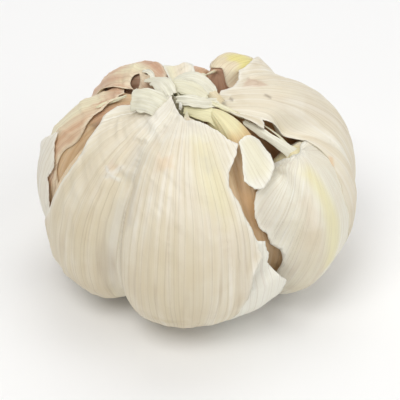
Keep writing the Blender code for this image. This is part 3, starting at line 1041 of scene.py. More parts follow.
@dataclass
class Sheet:
    """A torn piece of the dry wrapping, draped over what is under it."""

    name: str
    corners: tuple[Angles, ...]
    slot: Slot
    finish: Skin
    node: str = ""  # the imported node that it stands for
    passes: int = 40  # how tightly it bridges the grooves
    neck_passes: int = 48  # and does so near the neck
    offset: float = 0.5  # from what is under it to its outer face
    thickness: float = 0.16
    step: float = 1.1  # degrees between its points
    ragged: float = 0.5  # degrees that its torn edge wanders
    curl: float = 0.5  # how far its edge lifts
    curl_width: float = 2.5  # degrees over which it lifts
    calm_below: float = -10.0  # elevation under which the edge lies flat
    ribs: float = 0.10  # depth of the ribs along its veins
    pleats: float = 0.0  # depth of the gathers near the neck
    crumple: float = 0.12  # depth of its soft folds
    patches: tuple[Patch | Stroke, ...] = ()
    holes: tuple[tuple[Angles, ...], ...] = ()
    creases: tuple[Crease, ...] = ()
    hug: float = 0.5  # share of the offset that is left at a calm edge
    centre: tuple[float, float, float] = (0.0, 0.0, 18.0)  # its veins run round this point
    pole: tuple[float, float, float] = (0.0, 0.0, 1.0)  # and gather in this direction from it

    TEAR_STEP = 0.9  # degrees between two points of a torn edge
    UNDERSIDE = -50  # elevation under which an edge is torn less
    NECK = (30, 55)  # elevations between which the neck's passes take over
    GATHERED = (48, 72)  # elevations between which the pleats set in
    NEAREST, CLOSE = 0.75, 0.6  # shares of the offset that it keeps from what is under it
    FITTINGS, RELAXINGS = 3, 8  # how often it is pushed off, and evened out each time
    SEARCH, PUSH = 1.6, 1.2  # how far it looks for what is near, and moves at most
    STEEP = (0.15, 0.5)  # slopes between which evening out sets in
    EVENNESS = 0.6  # share of the way that a point moves to the mean of its neighbours
    RIM = 1.3  # degrees over which its rim is pale
    WANDER = 1.4  # degrees that its veins wander

    def torn(self, loop: Sequence[Angles], seed: int) -> np.ndarray:
        """A torn loop on the map.

        Args:
            loop: Its corners, as azimuth and elevation.
            seed: Which tearing to take.

        Returns:
            Rows of map positions.
        """
        corners = np.array(loop)
        rows = []
        for start, end in zip(corners, np.roll(corners, -1, axis=0)):
            narrowing = math.cos(math.radians((start[1] + end[1]) / 2))
            length = math.hypot((end[0] - start[0]) * narrowing, end[1] - start[1])
            steps = max(1, round(length / self.TEAR_STEP))
            share = np.arange(steps)[:, None] / steps
            rows.append(start + (end - start) * share)
        angles = np.vstack(rows)
        k = np.arange(len(angles), dtype=float)
        calm = 1 - 0.6 * (angles[:, 1] < self.UNDERSIDE)
        for axis, widening in ((0, 1 / np.cos(np.radians(angles[:, 1]))), (1, 1.0)):
            wave = 0.5 * noise(seed + axis, k / 5.3) + 0.35 * noise(seed + 5 + axis, k / 2.1)
            wave = wave + 0.3 * noise(seed + 9 + axis, k)
            angles[:, axis] += self.ragged * wave * calm * widening
        return to_map(angles)

    def lay_out(self) -> tuple[np.ndarray, np.ndarray, np.ndarray]:
        """Lays the sheet out on the map.

        Returns:
            Angles of the points, their degrees to the edge, and the triangles.
        """
        seed = hash_of(self.name)
        outline = self.torn(self.corners, seed)
        cuts = [self.torn(hole, seed + 31 * k) for k, hole in enumerate(self.holes)]
        corners = np.array(self.corners)
        low, high, west, east = (
            corners[:, 1].min(), corners[:, 1].max(), corners[:, 0].min(), corners[:, 0].max()
        )
        rows = []
        elevation, row = low, 0
        while elevation < high + 1:
            pitch = self.step / math.cos(math.radians(elevation))
            azimuth = np.arange(west - 2, east + 2, pitch) + (row % 2) * pitch / 2
            rows.append(np.column_stack((azimuth, np.full(len(azimuth), elevation))))
            elevation += self.step * 0.866
            row += 1
        places = to_map(np.vstack(rows))
        kept = self._clear(places, outline, cuts) > self.step * 0.45
        loops, joined = [], np.empty((0, 2))
        for loop in (outline, *cuts):
            loops.append(list(range(len(joined), len(joined) + len(loop))))
            joined = np.vstack((joined, loop))
        edges = [pair for loop in loops[1:] for pair in zip(loop, loop[1:] + loop[:1])]
        joined = np.vstack((joined, places[kept]))
        laid, _, faces, _, _, _ = delaunay_2d_cdt([Vector(p) for p in joined], edges, loops[:1], 1, 1e-7)
        laid, faces = np.array([tuple(p) for p in laid]), np.array(faces)
        middles = laid[faces].mean(axis=1)
        faces = faces[~np.any([inside(middles, cut) for cut in cuts] or [np.zeros(len(faces), bool)], axis=0)]
        return from_map(laid), np.maximum(self._clear(laid, outline, cuts), 0.0), faces

    @staticmethod
    def _clear(places: np.ndarray, outline: np.ndarray, cuts: Sequence[np.ndarray]) -> np.ndarray:
        """Degrees from each place to the nearest edge, negative off the sheet.

        Args:
            places: Rows of map positions.
            outline: The sheet's outline on the map.
            cuts: Outlines of its holes.

        Returns:
            One distance for each place.
        """
        off = ~inside(places, outline)
        away = edge_distance(places, outline)
        for cut in cuts:
            off |= inside(places, cut)
            away = np.minimum(away, edge_distance(places, cut))
        return np.where(off, -1.0, np.degrees(away) * np.cos(np.radians(from_map(places)[:, 1])))

    def form(self, ground: Ground) -> Form:
        """The sheet's outer face.

        Args:
            ground: What it lies on.

        Returns:
            The open form.
        """
        seed = hash_of(self.name)
        angles, from_edge, faces = self.lay_out()
        azimuth, elevation = angles[:, 0], angles[:, 1]
        pulled = ground.pulled(self.passes)
        if self.neck_passes > self.passes:
            tight = smooth_step(np.arange(ground.shape[0]) * ground.STEP + ground.LOWEST, *self.NECK)[:, None]
            pulled = pulled * (1 - tight) + ground.pulled(self.neck_passes) * tight
        reach = ground.read(pulled, azimuth, elevation)
        bare = ground.outermost(azimuth, elevation)
        narrow = np.cos(np.radians(elevation))
        fold = azimuth * narrow
        fold_noise = noise(seed, fold / 5, elevation / 9) + 0.5 * noise(seed + 1, fold / 2.2, elevation / 5)
        relief = self.crumple * fold_noise
        rib = (
            noise(seed + 2, azimuth / 2.6, elevation / 26)
            + 0.5 * noise(seed + 3, azimuth / 1.3, elevation / 20)
        )
        relief += self.ribs * np.minimum(1, 2.5 * narrow**1.5) * rib
        near_neck = smooth_step(elevation, *self.GATHERED)
        relief += self.pleats * near_neck * noise(seed + 4, azimuth / 7, elevation / 30)
        relief *= smooth_step(from_edge, -1.0, 3.0)
        edge = np.exp(-((from_edge / self.curl_width) ** 2))
        free = smooth_step(elevation, self.calm_below - 10, self.calm_below + 10)
        relief += self.curl * edge * free * (0.75 + 0.6 * noise(seed + 6, azimuth / 6, elevation / 6))
        for crease in self.creases:
            relief += crease.relief(azimuth, elevation)
        offset = self.offset * (1 - (1 - self.hug) * edge * (1 - free))
        reach = np.maximum(reach + offset + relief, bare + offset * self.NEAREST)
        points = HUB + direction(azimuth, elevation) * reach[:, None]
        made = Form(points, self._outward(points, faces), self._grain(points))
        for _ in range(self.FITTINGS):
            made.points = self._pushed(made, ground, offset * self.NEAREST)
            made.points = self._relaxed(made, from_edge < 0.05)
        made.points = self._pushed(made, ground, offset * self.CLOSE)
        made.masks["touch"] = 1 - smooth_step(reach - bare, self.offset + 0.2, self.offset + 1.5)
        made.masks["rim"] = np.exp(-((from_edge / self.RIM) ** 2)) * free
        made.paint(self.patches)
        return made

    def _pushed(self, made: Form, ground: Ground, clearances: np.ndarray) -> np.ndarray:
        """The points, moved off whatever they come too close to.

        Args:
            made: The sheet.
            ground: What it lies on.
            clearances: Room that each point needs.

        Returns:
            The points.
        """
        outward = made.points - HUB
        points = made.points.copy()
        for k, (point, clearance) in enumerate(zip(made.points, clearances)):
            near, normal, _, away = ground.tree.find_nearest(Vector(point), self.SEARCH)
            if near is None:
                continue
            inner = (Vector(point) - near).dot(normal) < 0
            if away < clearance or inner:
                lift = normal if normal.dot(Vector(outward[k])) > 0 else -normal
                step = near + lift * clearance - Vector(point)
                points[k] += np.array(step) * min(1.0, self.PUSH / max(step.length, 1e-6))
        return points

    def _relaxed(self, made: Form, rim: np.ndarray) -> np.ndarray:
        """The points, evened out where the sheet hangs steeply, with the rim's only along the rim.

        Args:
            made: The sheet.
            rim: Whether each point lies on its edge.

        Returns:
            The points.
        """
        outward = units(made.points - HUB)
        slope = 1 - np.abs(np.einsum("ij,ij->i", made.normals(), outward))
        weight = smooth_step(slope, *self.STEEP)[:, None] * self.EVENNESS
        pairs = np.concatenate([made.faces[:, [k, (k + 1) % 3]] for k in range(3)])
        pairs = np.unique(np.sort(pairs, axis=1), axis=0)
        pairs = np.vstack((pairs, pairs[:, ::-1]))
        pairs = pairs[~rim[pairs[:, 0]] | rim[pairs[:, 1]]]
        count = np.bincount(pairs[:, 0], minlength=len(made.points))[:, None]
        points = made.points.copy()
        for _ in range(self.RELAXINGS):
            total = np.zeros_like(points)
            np.add.at(total, pairs[:, 0], points[pairs[:, 1]])
            points += weight * (total / np.maximum(count, 1) - points)
        return points

    def _grain(self, points: np.ndarray) -> np.ndarray:
        """Degrees round the pole of its veins and degrees towards it, wandering a little.

        Args:
            points: The sheet's points.

        Returns:
            One row for each point.
        """
        axis = np.array(self.pole) / np.linalg.norm(self.pole)
        side = np.cross((0.0, 1.0, 0.0), axis)
        side /= np.linalg.norm(side)
        front = np.cross(axis, side)
        arm = points - np.array(self.centre)
        x, y, z = arm @ side, arm @ front, arm @ axis
        middle = math.degrees(math.atan2(float(np.mean(y)), float(np.mean(x))))
        turn = (np.degrees(np.arctan2(y, x)) - middle + 180) % 360 - 180
        rise = np.degrees(np.arctan2(z, np.hypot(x, y)))
        wander = noise(hash_of(self.name) + 20, turn / 16, rise / 24) * self.WANDER
        return np.column_stack((turn + wander, rise))

    @staticmethod
    def _outward(points: np.ndarray, faces: np.ndarray) -> np.ndarray:
        """The faces, turned so that they face away from the hub.

        Args:
            points: The sheet's points.
            faces: Its triangles.

        Returns:
            The triangles.
        """
        a, b, c = (points[faces[:, k]] for k in range(3))
        facing = np.einsum("ij,ij->i", np.cross(b - a, c - a), a - HUB)
        turned = faces.copy()
        turned[facing < 0] = faces[facing < 0][:, ::-1]
        return turned

    def dress(self, shelf: Shelf, ground: Ground) -> Form:
        """Builds the sheet.

        Args:
            shelf: The finishes.
            ground: What it lies on.

        Returns:
            The sheet's outer face, for later sheets to lie on.
        """
        face = self.form(ground)
        closed = face.thickened(self.thickness)
        closed.to_object(self.name, shelf.get(self.finish), self.slot, (self.node,) if self.node else ())
        return face


@dataclass
class Ribbon:
    """A strip of dried sheath along a curve, cupped and torn at its end."""

    name: str
    path: tuple[tuple[float, float, float], ...]
    widths: tuple[float, ...]
    facing: tuple[tuple[float, float, float], ...]  # which way its outer face looks, along the path
    cup: float = 0.2  # sag of its sides, as a share of its width
    torn: float = 0.6  # how far its ends are torn
    thickness: float = 0.12
    ribs: float = 0.1
    along: int = 52  # points
    across: int = 24
    tints: tuple[tuple[Tint, float], ...] = ()

    def form(self) -> Form:
        """The strip's outer face.

        Returns:
            The open form.
        """
        seed = hash_of(self.name)
        spine = curve_through(self.path, self.along)
        widths = curve_through([(w,) for w in self.widths], self.along)[:, 0]
        facing = curve_through(self.facing, self.along)
        ahead = units(np.gradient(spine, axis=0))
        side = units(np.cross(facing, ahead))
        out = np.cross(ahead, side)
        s = np.linspace(-1, 1, self.across)
        t = np.linspace(0, 1, self.along)
        t_grid, s_grid = np.meshgrid(t, s, indexing="ij")
        flat_t, flat_s = t_grid.ravel(), s_grid.ravel()
        end = smooth_step(np.abs(flat_t - 0.5), 0.36, 0.5) * np.sign(flat_t - 0.5)
        pull = self.torn * end * (0.5 * noise(seed, flat_s * 2.2) + 0.35 * noise(seed + 1, flat_s * 6) - 0.35)
        frayed = 1 + 0.10 * noise(seed + 2, flat_t * 9, np.sign(flat_s)) * np.abs(flat_s)
        i = np.repeat(np.arange(self.along), self.across)
        half = widths[i] / 2 * frayed
        sag = -self.cup * half * 2 * flat_s**2
        sag += (
            self.ribs * noise(seed + 3, flat_s * half * 2.2, flat_t * 2)
            + self.ribs * 1.3 * noise(seed + 4, flat_s * 2, flat_t * 5)
        )
        points = (
            spine[i] + side[i] * (half * flat_s)[:, None] + out[i] * sag[:, None] + ahead[i] * pull[:, None]
        )
        index = np.arange(self.along * self.across).reshape(self.along, self.across)
        made = Form(points, quads(index, flipped=True), np.column_stack((flat_s * half * 5, flat_t * 40)))
        if np.einsum("ij,ij->i", made.normals(), out[i]).mean() < 0:
            made.faces = made.faces[:, ::-1]
        made.masks = {tint.value: np.zeros(len(points)) for tint in Tint}
        for tint, strength in self.tints:
            made.masks[tint.value][:] = strength
        return made

    def dress(self, shelf: Shelf) -> None:
        """Builds the strip, of the same dried sheath as the neck."""
        self.form().thickened(self.thickness).to_object(self.name, shelf.get(SHEATH_PAPER), Slot.NECK)


@dataclass
class Neck:
    """The dried neck: nested sheaths with torn tops, and the strips that bend out of them."""

    sheaths: tuple[tuple[float, float, float], ...] = (  # radius at the foot, radius at the top and height
        (3.0, 3.2, 42.7),
        (2.3, 2.4, 42.9),
        (1.5, 1.6, 42.5),
        (0.8, 0.9, 42.0),
    )
    foot: float = 4.8  # height
    around: int = 90  # points
    rings: int = 60
    tear: float = 0.5  # how unevenly the sheaths end
    thickness: float = 0.2

    FLARE = (26, 43)  # heights between which a sheath goes over to its top radius

    def _sheath(self, number: int, low_radius: float, top_radius: float, height: float) -> Form:
        """One sheath as an open tube.

        Args:
            number: Its place from the outside.
            low_radius: Radius at the foot.
            top_radius: Radius at the top.
            height: Height of its torn top.

        Returns:
            The open form.
        """
        seed = 400 + number
        turn = np.linspace(-np.pi, np.pi, self.around + 1)
        t, angle = np.meshgrid(np.linspace(0, 1, self.rings), turn, indexing="ij")
        t, angle = t.ravel(), angle.ravel()
        cx, cy = np.cos(angle), np.sin(angle)
        top = height + self.tear * (noise(seed, cx * 1.7, cy * 1.7) + 0.45 * noise(seed + 1, cx * 5, cy * 5))
        z = self.foot + (top - self.foot) * t
        radius = low_radius + (top_radius - low_radius) * smooth_step(z, *self.FLARE)
        radius = radius * (
            1 + 0.05 * noise(seed + 2, cx * 3, cy * 3) + 0.05 * noise(seed + 3, cx * 8, cy * 8)
        )
        points = np.column_stack((radius * cx, radius * cy, z))
        index = np.arange(len(points)).reshape(self.rings, self.around + 1)
        made = Form(points, quads(index), np.column_stack((np.degrees(angle) * 0.3, t * 40)))
        made.masks = {tint.value: np.zeros(len(points)) for tint in Tint}
        return made

    def dress(self, shelf: Shelf, strips: Sequence[Ribbon]) -> Form:
        """Builds the sheaths and the strips.

        Args:
            shelf: The finishes.
            strips: The strips.

        Returns:
            The outermost sheath, for the paper to lie on.
        """
        made = [self._sheath(number, *sizes) for number, sizes in enumerate(self.sheaths)]
        for number, tube in enumerate(made):
            replaced = ("neck",) if number == 0 else ()
            tube = tube.thickened(self.thickness)
            tube.to_object(f"neck_sheath_{number + 1}", shelf.get(SHEATH_PAPER), Slot.NECK, replaced)
        for strip in strips:
            strip.dress(shelf)
        return made[0]


@dataclass
class RootPlate:
    """The corky plate under the cloves, with the stubs of its trimmed roots."""

    profile: tuple[Angles, ...] = (
        (0.0, 4.4), (5.4, 4.1), (9.0, 2.9), (9.4, 2.1), (8.7, 1.2), (7.3, 0.9), (7.0, 0.0), (0.0, 0.0),
    )
    around: int = 120
    between: int = 9  # rings between two corners of the profile
    stub_rings: tuple[tuple[float, int, float, float], ...] = (  # distance, number, outward lean, length
        (7.9, 26, 0.1, 1.3), (8.7, 34, 0.9, 2.0), (9.1, 30, 1.8, 1.7),
    )

    CENTRE_HOLE = 0.02  # radius that the caps close
    ROUGH_OUT, ROUGH_UP = 0.28, 0.12  # how far its crust stands out and up
    HOLLOW = 0.35  # depth of the hollow in its underside
    STUB_TOP, STUB_LOWEST = 1.9, 0.35  # heights
    STUB_RADIUS = 0.42
    STUB_PARTS = 9  # rings, and sides of a ring

    def _plate(self) -> Form:
        """The plate's body.

        Returns:
            The closed form.
        """
        rows = []
        for a, b in zip(self.profile, self.profile[1:]):
            share = np.linspace(0, 1, self.between, endpoint=False)[:, None]
            rows.append(np.array(a) + (np.array(b) - np.array(a)) * share)
        rings = np.vstack([*rows, [self.profile[-1]]])
        rings[0, 0] = rings[-1, 0] = self.CENTRE_HOLE
        turn = np.linspace(0, 2 * np.pi, self.around, endpoint=False)
        r, z = (np.repeat(rings[:, k], self.around) for k in range(2))
        cx, cy = (np.tile(f(turn), len(rings)) for f in (np.cos, np.sin))
        rough = (
            noise(701, r * cx / 1.1, r * cy / 1.1, z / 1.1)
            + 0.6 * noise(702, r * cx * 2.2, r * cy * 2.2, z * 2.2)
        )
        free = smooth_step(z, 0.05, 0.9)
        r = r + self.ROUGH_OUT * rough * free * smooth_step(r, 3, 7)
        z = z + np.where(z > 0.01, self.ROUGH_UP * rough * free, 0.0)
        crumbs = self.ROUGH_UP * np.clip(rough, 0, 1) * (1 - smooth_step(r, 5.0, 6.4))
        hollow = self.HOLLOW * (1 - smooth_step(r, 1.5, 4.5)) + crumbs
        z = np.where(z < 0.01, hollow, z)
        points = np.column_stack((r * cx, r * cy, z))
        index = np.arange(len(points)).reshape(len(rings), self.around)
        faces = quads(np.column_stack((index, index[:, 0])), flipped=True)
        made = Form(points, faces, np.column_stack((np.degrees(np.arctan2(cy, cx)) * 0.2, r * 4)))
        made.caps = [tuple(index[0]), tuple(index[-1][::-1])]
        return made

    def _stub(self, distance: float, azimuth: float, lean: float, length: float, seed: int) -> Form:
        """One root stub, bent a little and thinner at its end.

        Args:
            distance: From the neck's axis.
            azimuth: Its direction, in radians.
            lean: How far it leans outwards.
            length: Its length.
            seed: Which bend to take.

        Returns:
            The closed form.
        """
        outward = np.array((math.cos(azimuth), math.sin(azimuth), 0.0))
        sideways = np.array((-outward[1], outward[0], 0.0))
        bend = lattice(np.array([[seed, k] for k in range(4)]), 800)
        start = outward * distance + np.array((0, 0, self.STUB_TOP))
        way = outward * lean + np.array((0, 0, -1.0)) + sideways * 0.25 * bend[0]
        way /= np.linalg.norm(way)
        middle = start + way * length * 0.5 + sideways * 0.15 * bend[1]
        stops = [start, middle, start + way * length + outward * 0.3 * bend[2]]
        parts = self.STUB_PARTS
        spine = curve_through(stops, parts)
        spine[:, 2] = np.maximum(spine[:, 2], self.STUB_LOWEST)
        turn = 2 * np.pi * np.arange(parts) / parts
        ahead = units(np.gradient(spine, axis=0))
        first = units(np.cross(ahead, sideways))
        second = np.cross(ahead, first)
        thick = self.STUB_RADIUS * (1 - 0.35 * np.linspace(0, 1, parts)) * (1 + 0.15 * bend[3])
        ring = first[:, None] * np.cos(turn)[None, :, None] + second[:, None] * np.sin(turn)[None, :, None]
        points = (spine[:, None] + ring * thick[:, None, None]).reshape(-1, 3)
        index = np.arange(len(points)).reshape(parts, parts)
        faces = quads(np.column_stack((index, index[:, 0])))
        grain = np.column_stack(
            (np.tile(np.degrees(turn) * 0.05, parts), np.repeat(np.arange(float(parts)), parts))
        )
        made = Form(points, faces, grain)
        made.caps = [tuple(index[0][::-1]), tuple(index[-1])]
        return made

    def dress(self, shelf: Shelf) -> None:
        """Builds the plate and its root stubs as one piece each.

        Args:
            shelf: The finishes.
        """
        crust = shelf.get(Crust("root crust"))
        self._plate().to_object("root_plate_crust", crust, Slot.ROOT, ("root_plate",))
        stubs: list[Form] = []
        for distance, number, lean, length in self.stub_rings:
            for k in range(number):
                draw = lattice(np.array([[len(stubs), j] for j in range(4)]), 900)
                azimuth = 2 * math.pi * (k + 0.3 * draw[0]) / number
                place, bent = distance + 0.3 * draw[1], lean + 0.2 * draw[2]
                stubs.append(self._stub(place, azimuth, bent, length * (1 + 0.2 * draw[3]), len(stubs)))
        points, faces, caps, grain, start = [], [], [], [], 0
        for stub in stubs:
            points.append(stub.points)
            faces.append(stub.faces + start)
            caps += [tuple(k + start for k in cap) for cap in stub.caps]
            grain.append(stub.grain)
            start += len(stub.points)
        joined = Form(np.vstack(points), np.vstack(faces), np.vstack(grain), caps=caps)
        joined.to_object("root_stubs", crust, Slot.ROOT)


@dataclass
class Studio:
    """The pale floor, the soft lights and the camera at the photograph's viewing angle."""

    elevation: float = 38.0  # degrees
    distance: float = 0.32  # metres
    target: tuple[float, float, float] = (0.0025, 0.0, 0.0153)
    lens: float = 137.0  # millimetres
    world: float = 0.45  # strength of the light from all round

    LAMPS = (  # name, place, power, size and colour
        ("key", (-0.20, -0.30, 0.68), 2.25, 0.4, (1.0, 0.99, 0.97)),
        ("fill", (0.50, -0.30, 0.46), 1.3, 0.6, (1.0, 0.995, 0.98)),
        ("top", (0.08, 0.34, 0.62), 1.35, 0.5, (1.0, 1.0, 1.0)),
    )
    AIM = (0, 0, 0.02)  # where the lamps look

    def build(self) -> None:
        """Makes the stage."""
        scene = bpy.context.scene
        scene.view_settings.view_transform = "Standard"
        self._floor()
        for lamp in self.LAMPS:
            self._light(*lamp)
        world = bpy.data.worlds.new("studio")
        world.use_nodes = True
        background = world.node_tree.nodes["Background"]
        background.inputs["Color"].default_value = (1.0, 1.0, 1.0, 1.0)
        background.inputs["Strength"].default_value = self.world
        scene.world = world
        eye = math.radians(self.elevation)
        back = Vector((0, -math.cos(eye), math.sin(eye)))
        camera = bpy.data.objects.new("camera", bpy.data.cameras.new("camera"))
        camera.location = Vector(self.target) + back * self.distance
        camera.rotation_mode = "QUATERNION"
        camera.rotation_quaternion = (-back).to_track_quat("-Z", "Y")
        camera.data.lens = self.lens
        scene.collection.objects.link(camera)
        scene.camera = camera

    @staticmethod
    def _floor() -> None:
        """A large plain floor."""
        mesh = bpy.data.meshes.new("floor")
        mesh.from_pydata([(-3, -3, 0), (3, -3, 0), (3, 3, 0), (-3, 3, 0)], [], [(0, 1, 2, 3)])
        graph = Graph("pale floor")
        shader = graph.add(
            "ShaderNodeBsdfPrincipled", None, {"Base Color": (0.9, 0.9, 0.9), "Roughness": 0.9}
        )
        graph.add("ShaderNodeOutputMaterial", None, {"Surface": graph.out(shader, "BSDF")})
        mesh.materials.append(graph.material)
        floor = bpy.data.objects.new("floor", mesh)
        bpy.context.scene.collection.objects.link(floor)

    def _light(
        self, name: str, place: tuple[float, float, float], power: float, size: float, colour: Colour
    ) -> None:
        """A square soft light aimed at the head.

        Args:
            name: The light's name.
            place: Where it stands, in metres.
            power: Its power in watts.
            size: Length of its sides in metres.
            colour: Its colour.
        """
        lamp = bpy.data.lights.new(name, "AREA")
        lamp.energy, lamp.size, lamp.color = power, size, colour
        holder = bpy.data.objects.new(name, lamp)
        holder.location = place
        holder.rotation_mode = "QUATERNION"
        holder.rotation_quaternion = (Vector(self.AIM) - Vector(place)).to_track_quat("-Z", "Y")
        bpy.context.scene.collection.objects.link(holder)


# Pairs in these tables are azimuths and elevations from the hub, in degrees; lengths are in millimetres.
CLOVES = (
    Clove("clove_front", (-124, -58), (-124, -58), 33.2, 28.0, (6.8, 41.0), 42, 5.0, 0.0, ((5.8, 42.2, 0.0),),
          Slot.PALE, PALE_SKIN, inset=0.2),
    Clove("clove_front_gap", (-58, -48), (-56, -26), 26.0, 14.0, (6.4, 41.0), 44, 5.2, 0.0,
          ((5.4, 42.0, 0.0),), Slot.TAN, TAN_SKIN,
          (Patch(Tint.YELLOW, ((-66, 56), (-46, 53), (-24, 56), (-10, 70), (-30, 88), (-80, 86)), 0.26, 7.0),
           Patch(Tint.CREAM, ((-66, 58), (-46, 57), (-26, 62), (-10, 75), (-30, 88), (-80, 86)), 0.85, 6.0),
           Patch(Tint.TAN, ((-46, 44), (-30, 44), (-22, 52), (-30, 58), (-42, 54)), 0.5, 4.0),
           Patch(Tint.TAN, ((-62, 2), (-46, 2), (-46, 22), (-58, 26)), 0.7, 6.0))),
    Clove("clove_right_front", (-46, -2), (-38, -5), 34.4, 29.0, (22.0, 34.6), 37, 13.5, 0.0,
          ((19.0, 36.6, 0.6), (15.5, 38.4, 0.6), (11.8, 39.4, 0.2)), Slot.PALE, PALE_SKIN,
          (Patch(Tint.YELLOW, ((-32, 33), (-20, 33), (-18, 40), (-30, 41)), 0.35, 4.0),), inset=0.3),
    Clove("clove_right_back", (-2, 37), (-9, 34), 35.6, 27.0, (8.2, 40.0), 46, 5.0, 0.0, ((7.0, 40.6, 0.0),),
          Slot.TAN, RUSSET_SKIN, inset=0.25),
    Clove("clove_back_right", (37, 71), (37, 71), 30.0, 20.0, (11.0, 41.4), 46, 5.0, 1.0, ((8.8, 41.4, 1.6),),
          Slot.ROSE, ROSE_SKIN,
          # painted shade in a hollow near the clove's top
          (Patch(Tint.DARK, ((42, 61), (54, 60), (58, 66), (48, 69)), 0.2, 5.0),
           Patch(Tint.ROSE, ((36, 58), (62, 57), (66, 72), (40, 74)), 0.6, 5.0)), inset=0.12),
    Clove("clove_back", (71, 108), (71, 108), 27.5, 19.0, (8.4, 38.5), 42.5, 5.0, 0.0, ((7.0, 39.2, 0.0),),
          Slot.ROSE, ROSE_SKIN,
          (Patch(Tint.TAN, ((66, 44), (84, 40), (82, 58), (72, 66)), 0.6, 5.0),), inset=0.1),
    Clove("clove_back_left", (108, 150), (108, 150), 30.0, 21.0, (8.6, 40.0), 45, 5.0, -0.6,
          ((7.0, 40.0, -1.4),), Slot.ROSE, ROSE_SKIN,
          # painted shade inside the hole torn in the loose skin over it
          (Patch(Tint.DARK, ((138, 55), (149, 54), (150, 61), (140, 62)), 0.75, 4.0),
           Patch(Tint.CREAM, ((118, 43), (142, 41), (141, 50), (126, 54), (117, 51)), 0.7, 6.0)), inset=0.12),
    Clove("clove_left", (150, 192), (150, 192), 31.2, 22.0, (9.6, 38.5), 41, 5.2, -0.8, ((7.6, 39.4, -1.4),),
          Slot.TAN, TAN_SKIN,
          (Patch(Tint.ROSE, ((176, 44), (194, 44), (194, 60), (172, 64)), 0.6, 5.0),
           # painted shadow beside the lifted edge of the loose skin over it
           Patch(Tint.DARK, ((185, 42), (193, 42), (193, 52), (187, 53)), 0.6, 3.0)), inset=0.12),
    Clove("clove_front_left", (192, 236), (192, 236), 31.0, 25.0, (7.4, 39.5), 40, 5.0, 0.4,
          ((6.4, 40.6, 0.6),), Slot.PALE, PALE_SKIN,
          (Patch(Tint.TAN, ((188, -30), (216, -30), (216, 56), (188, 56)), 0.5, 5.0),
           Patch(Tint.YELLOW, ((203, 14), (212, 12), (211, 27), (205, 28)), 0.35, 3.0)), inset=0.2),
)

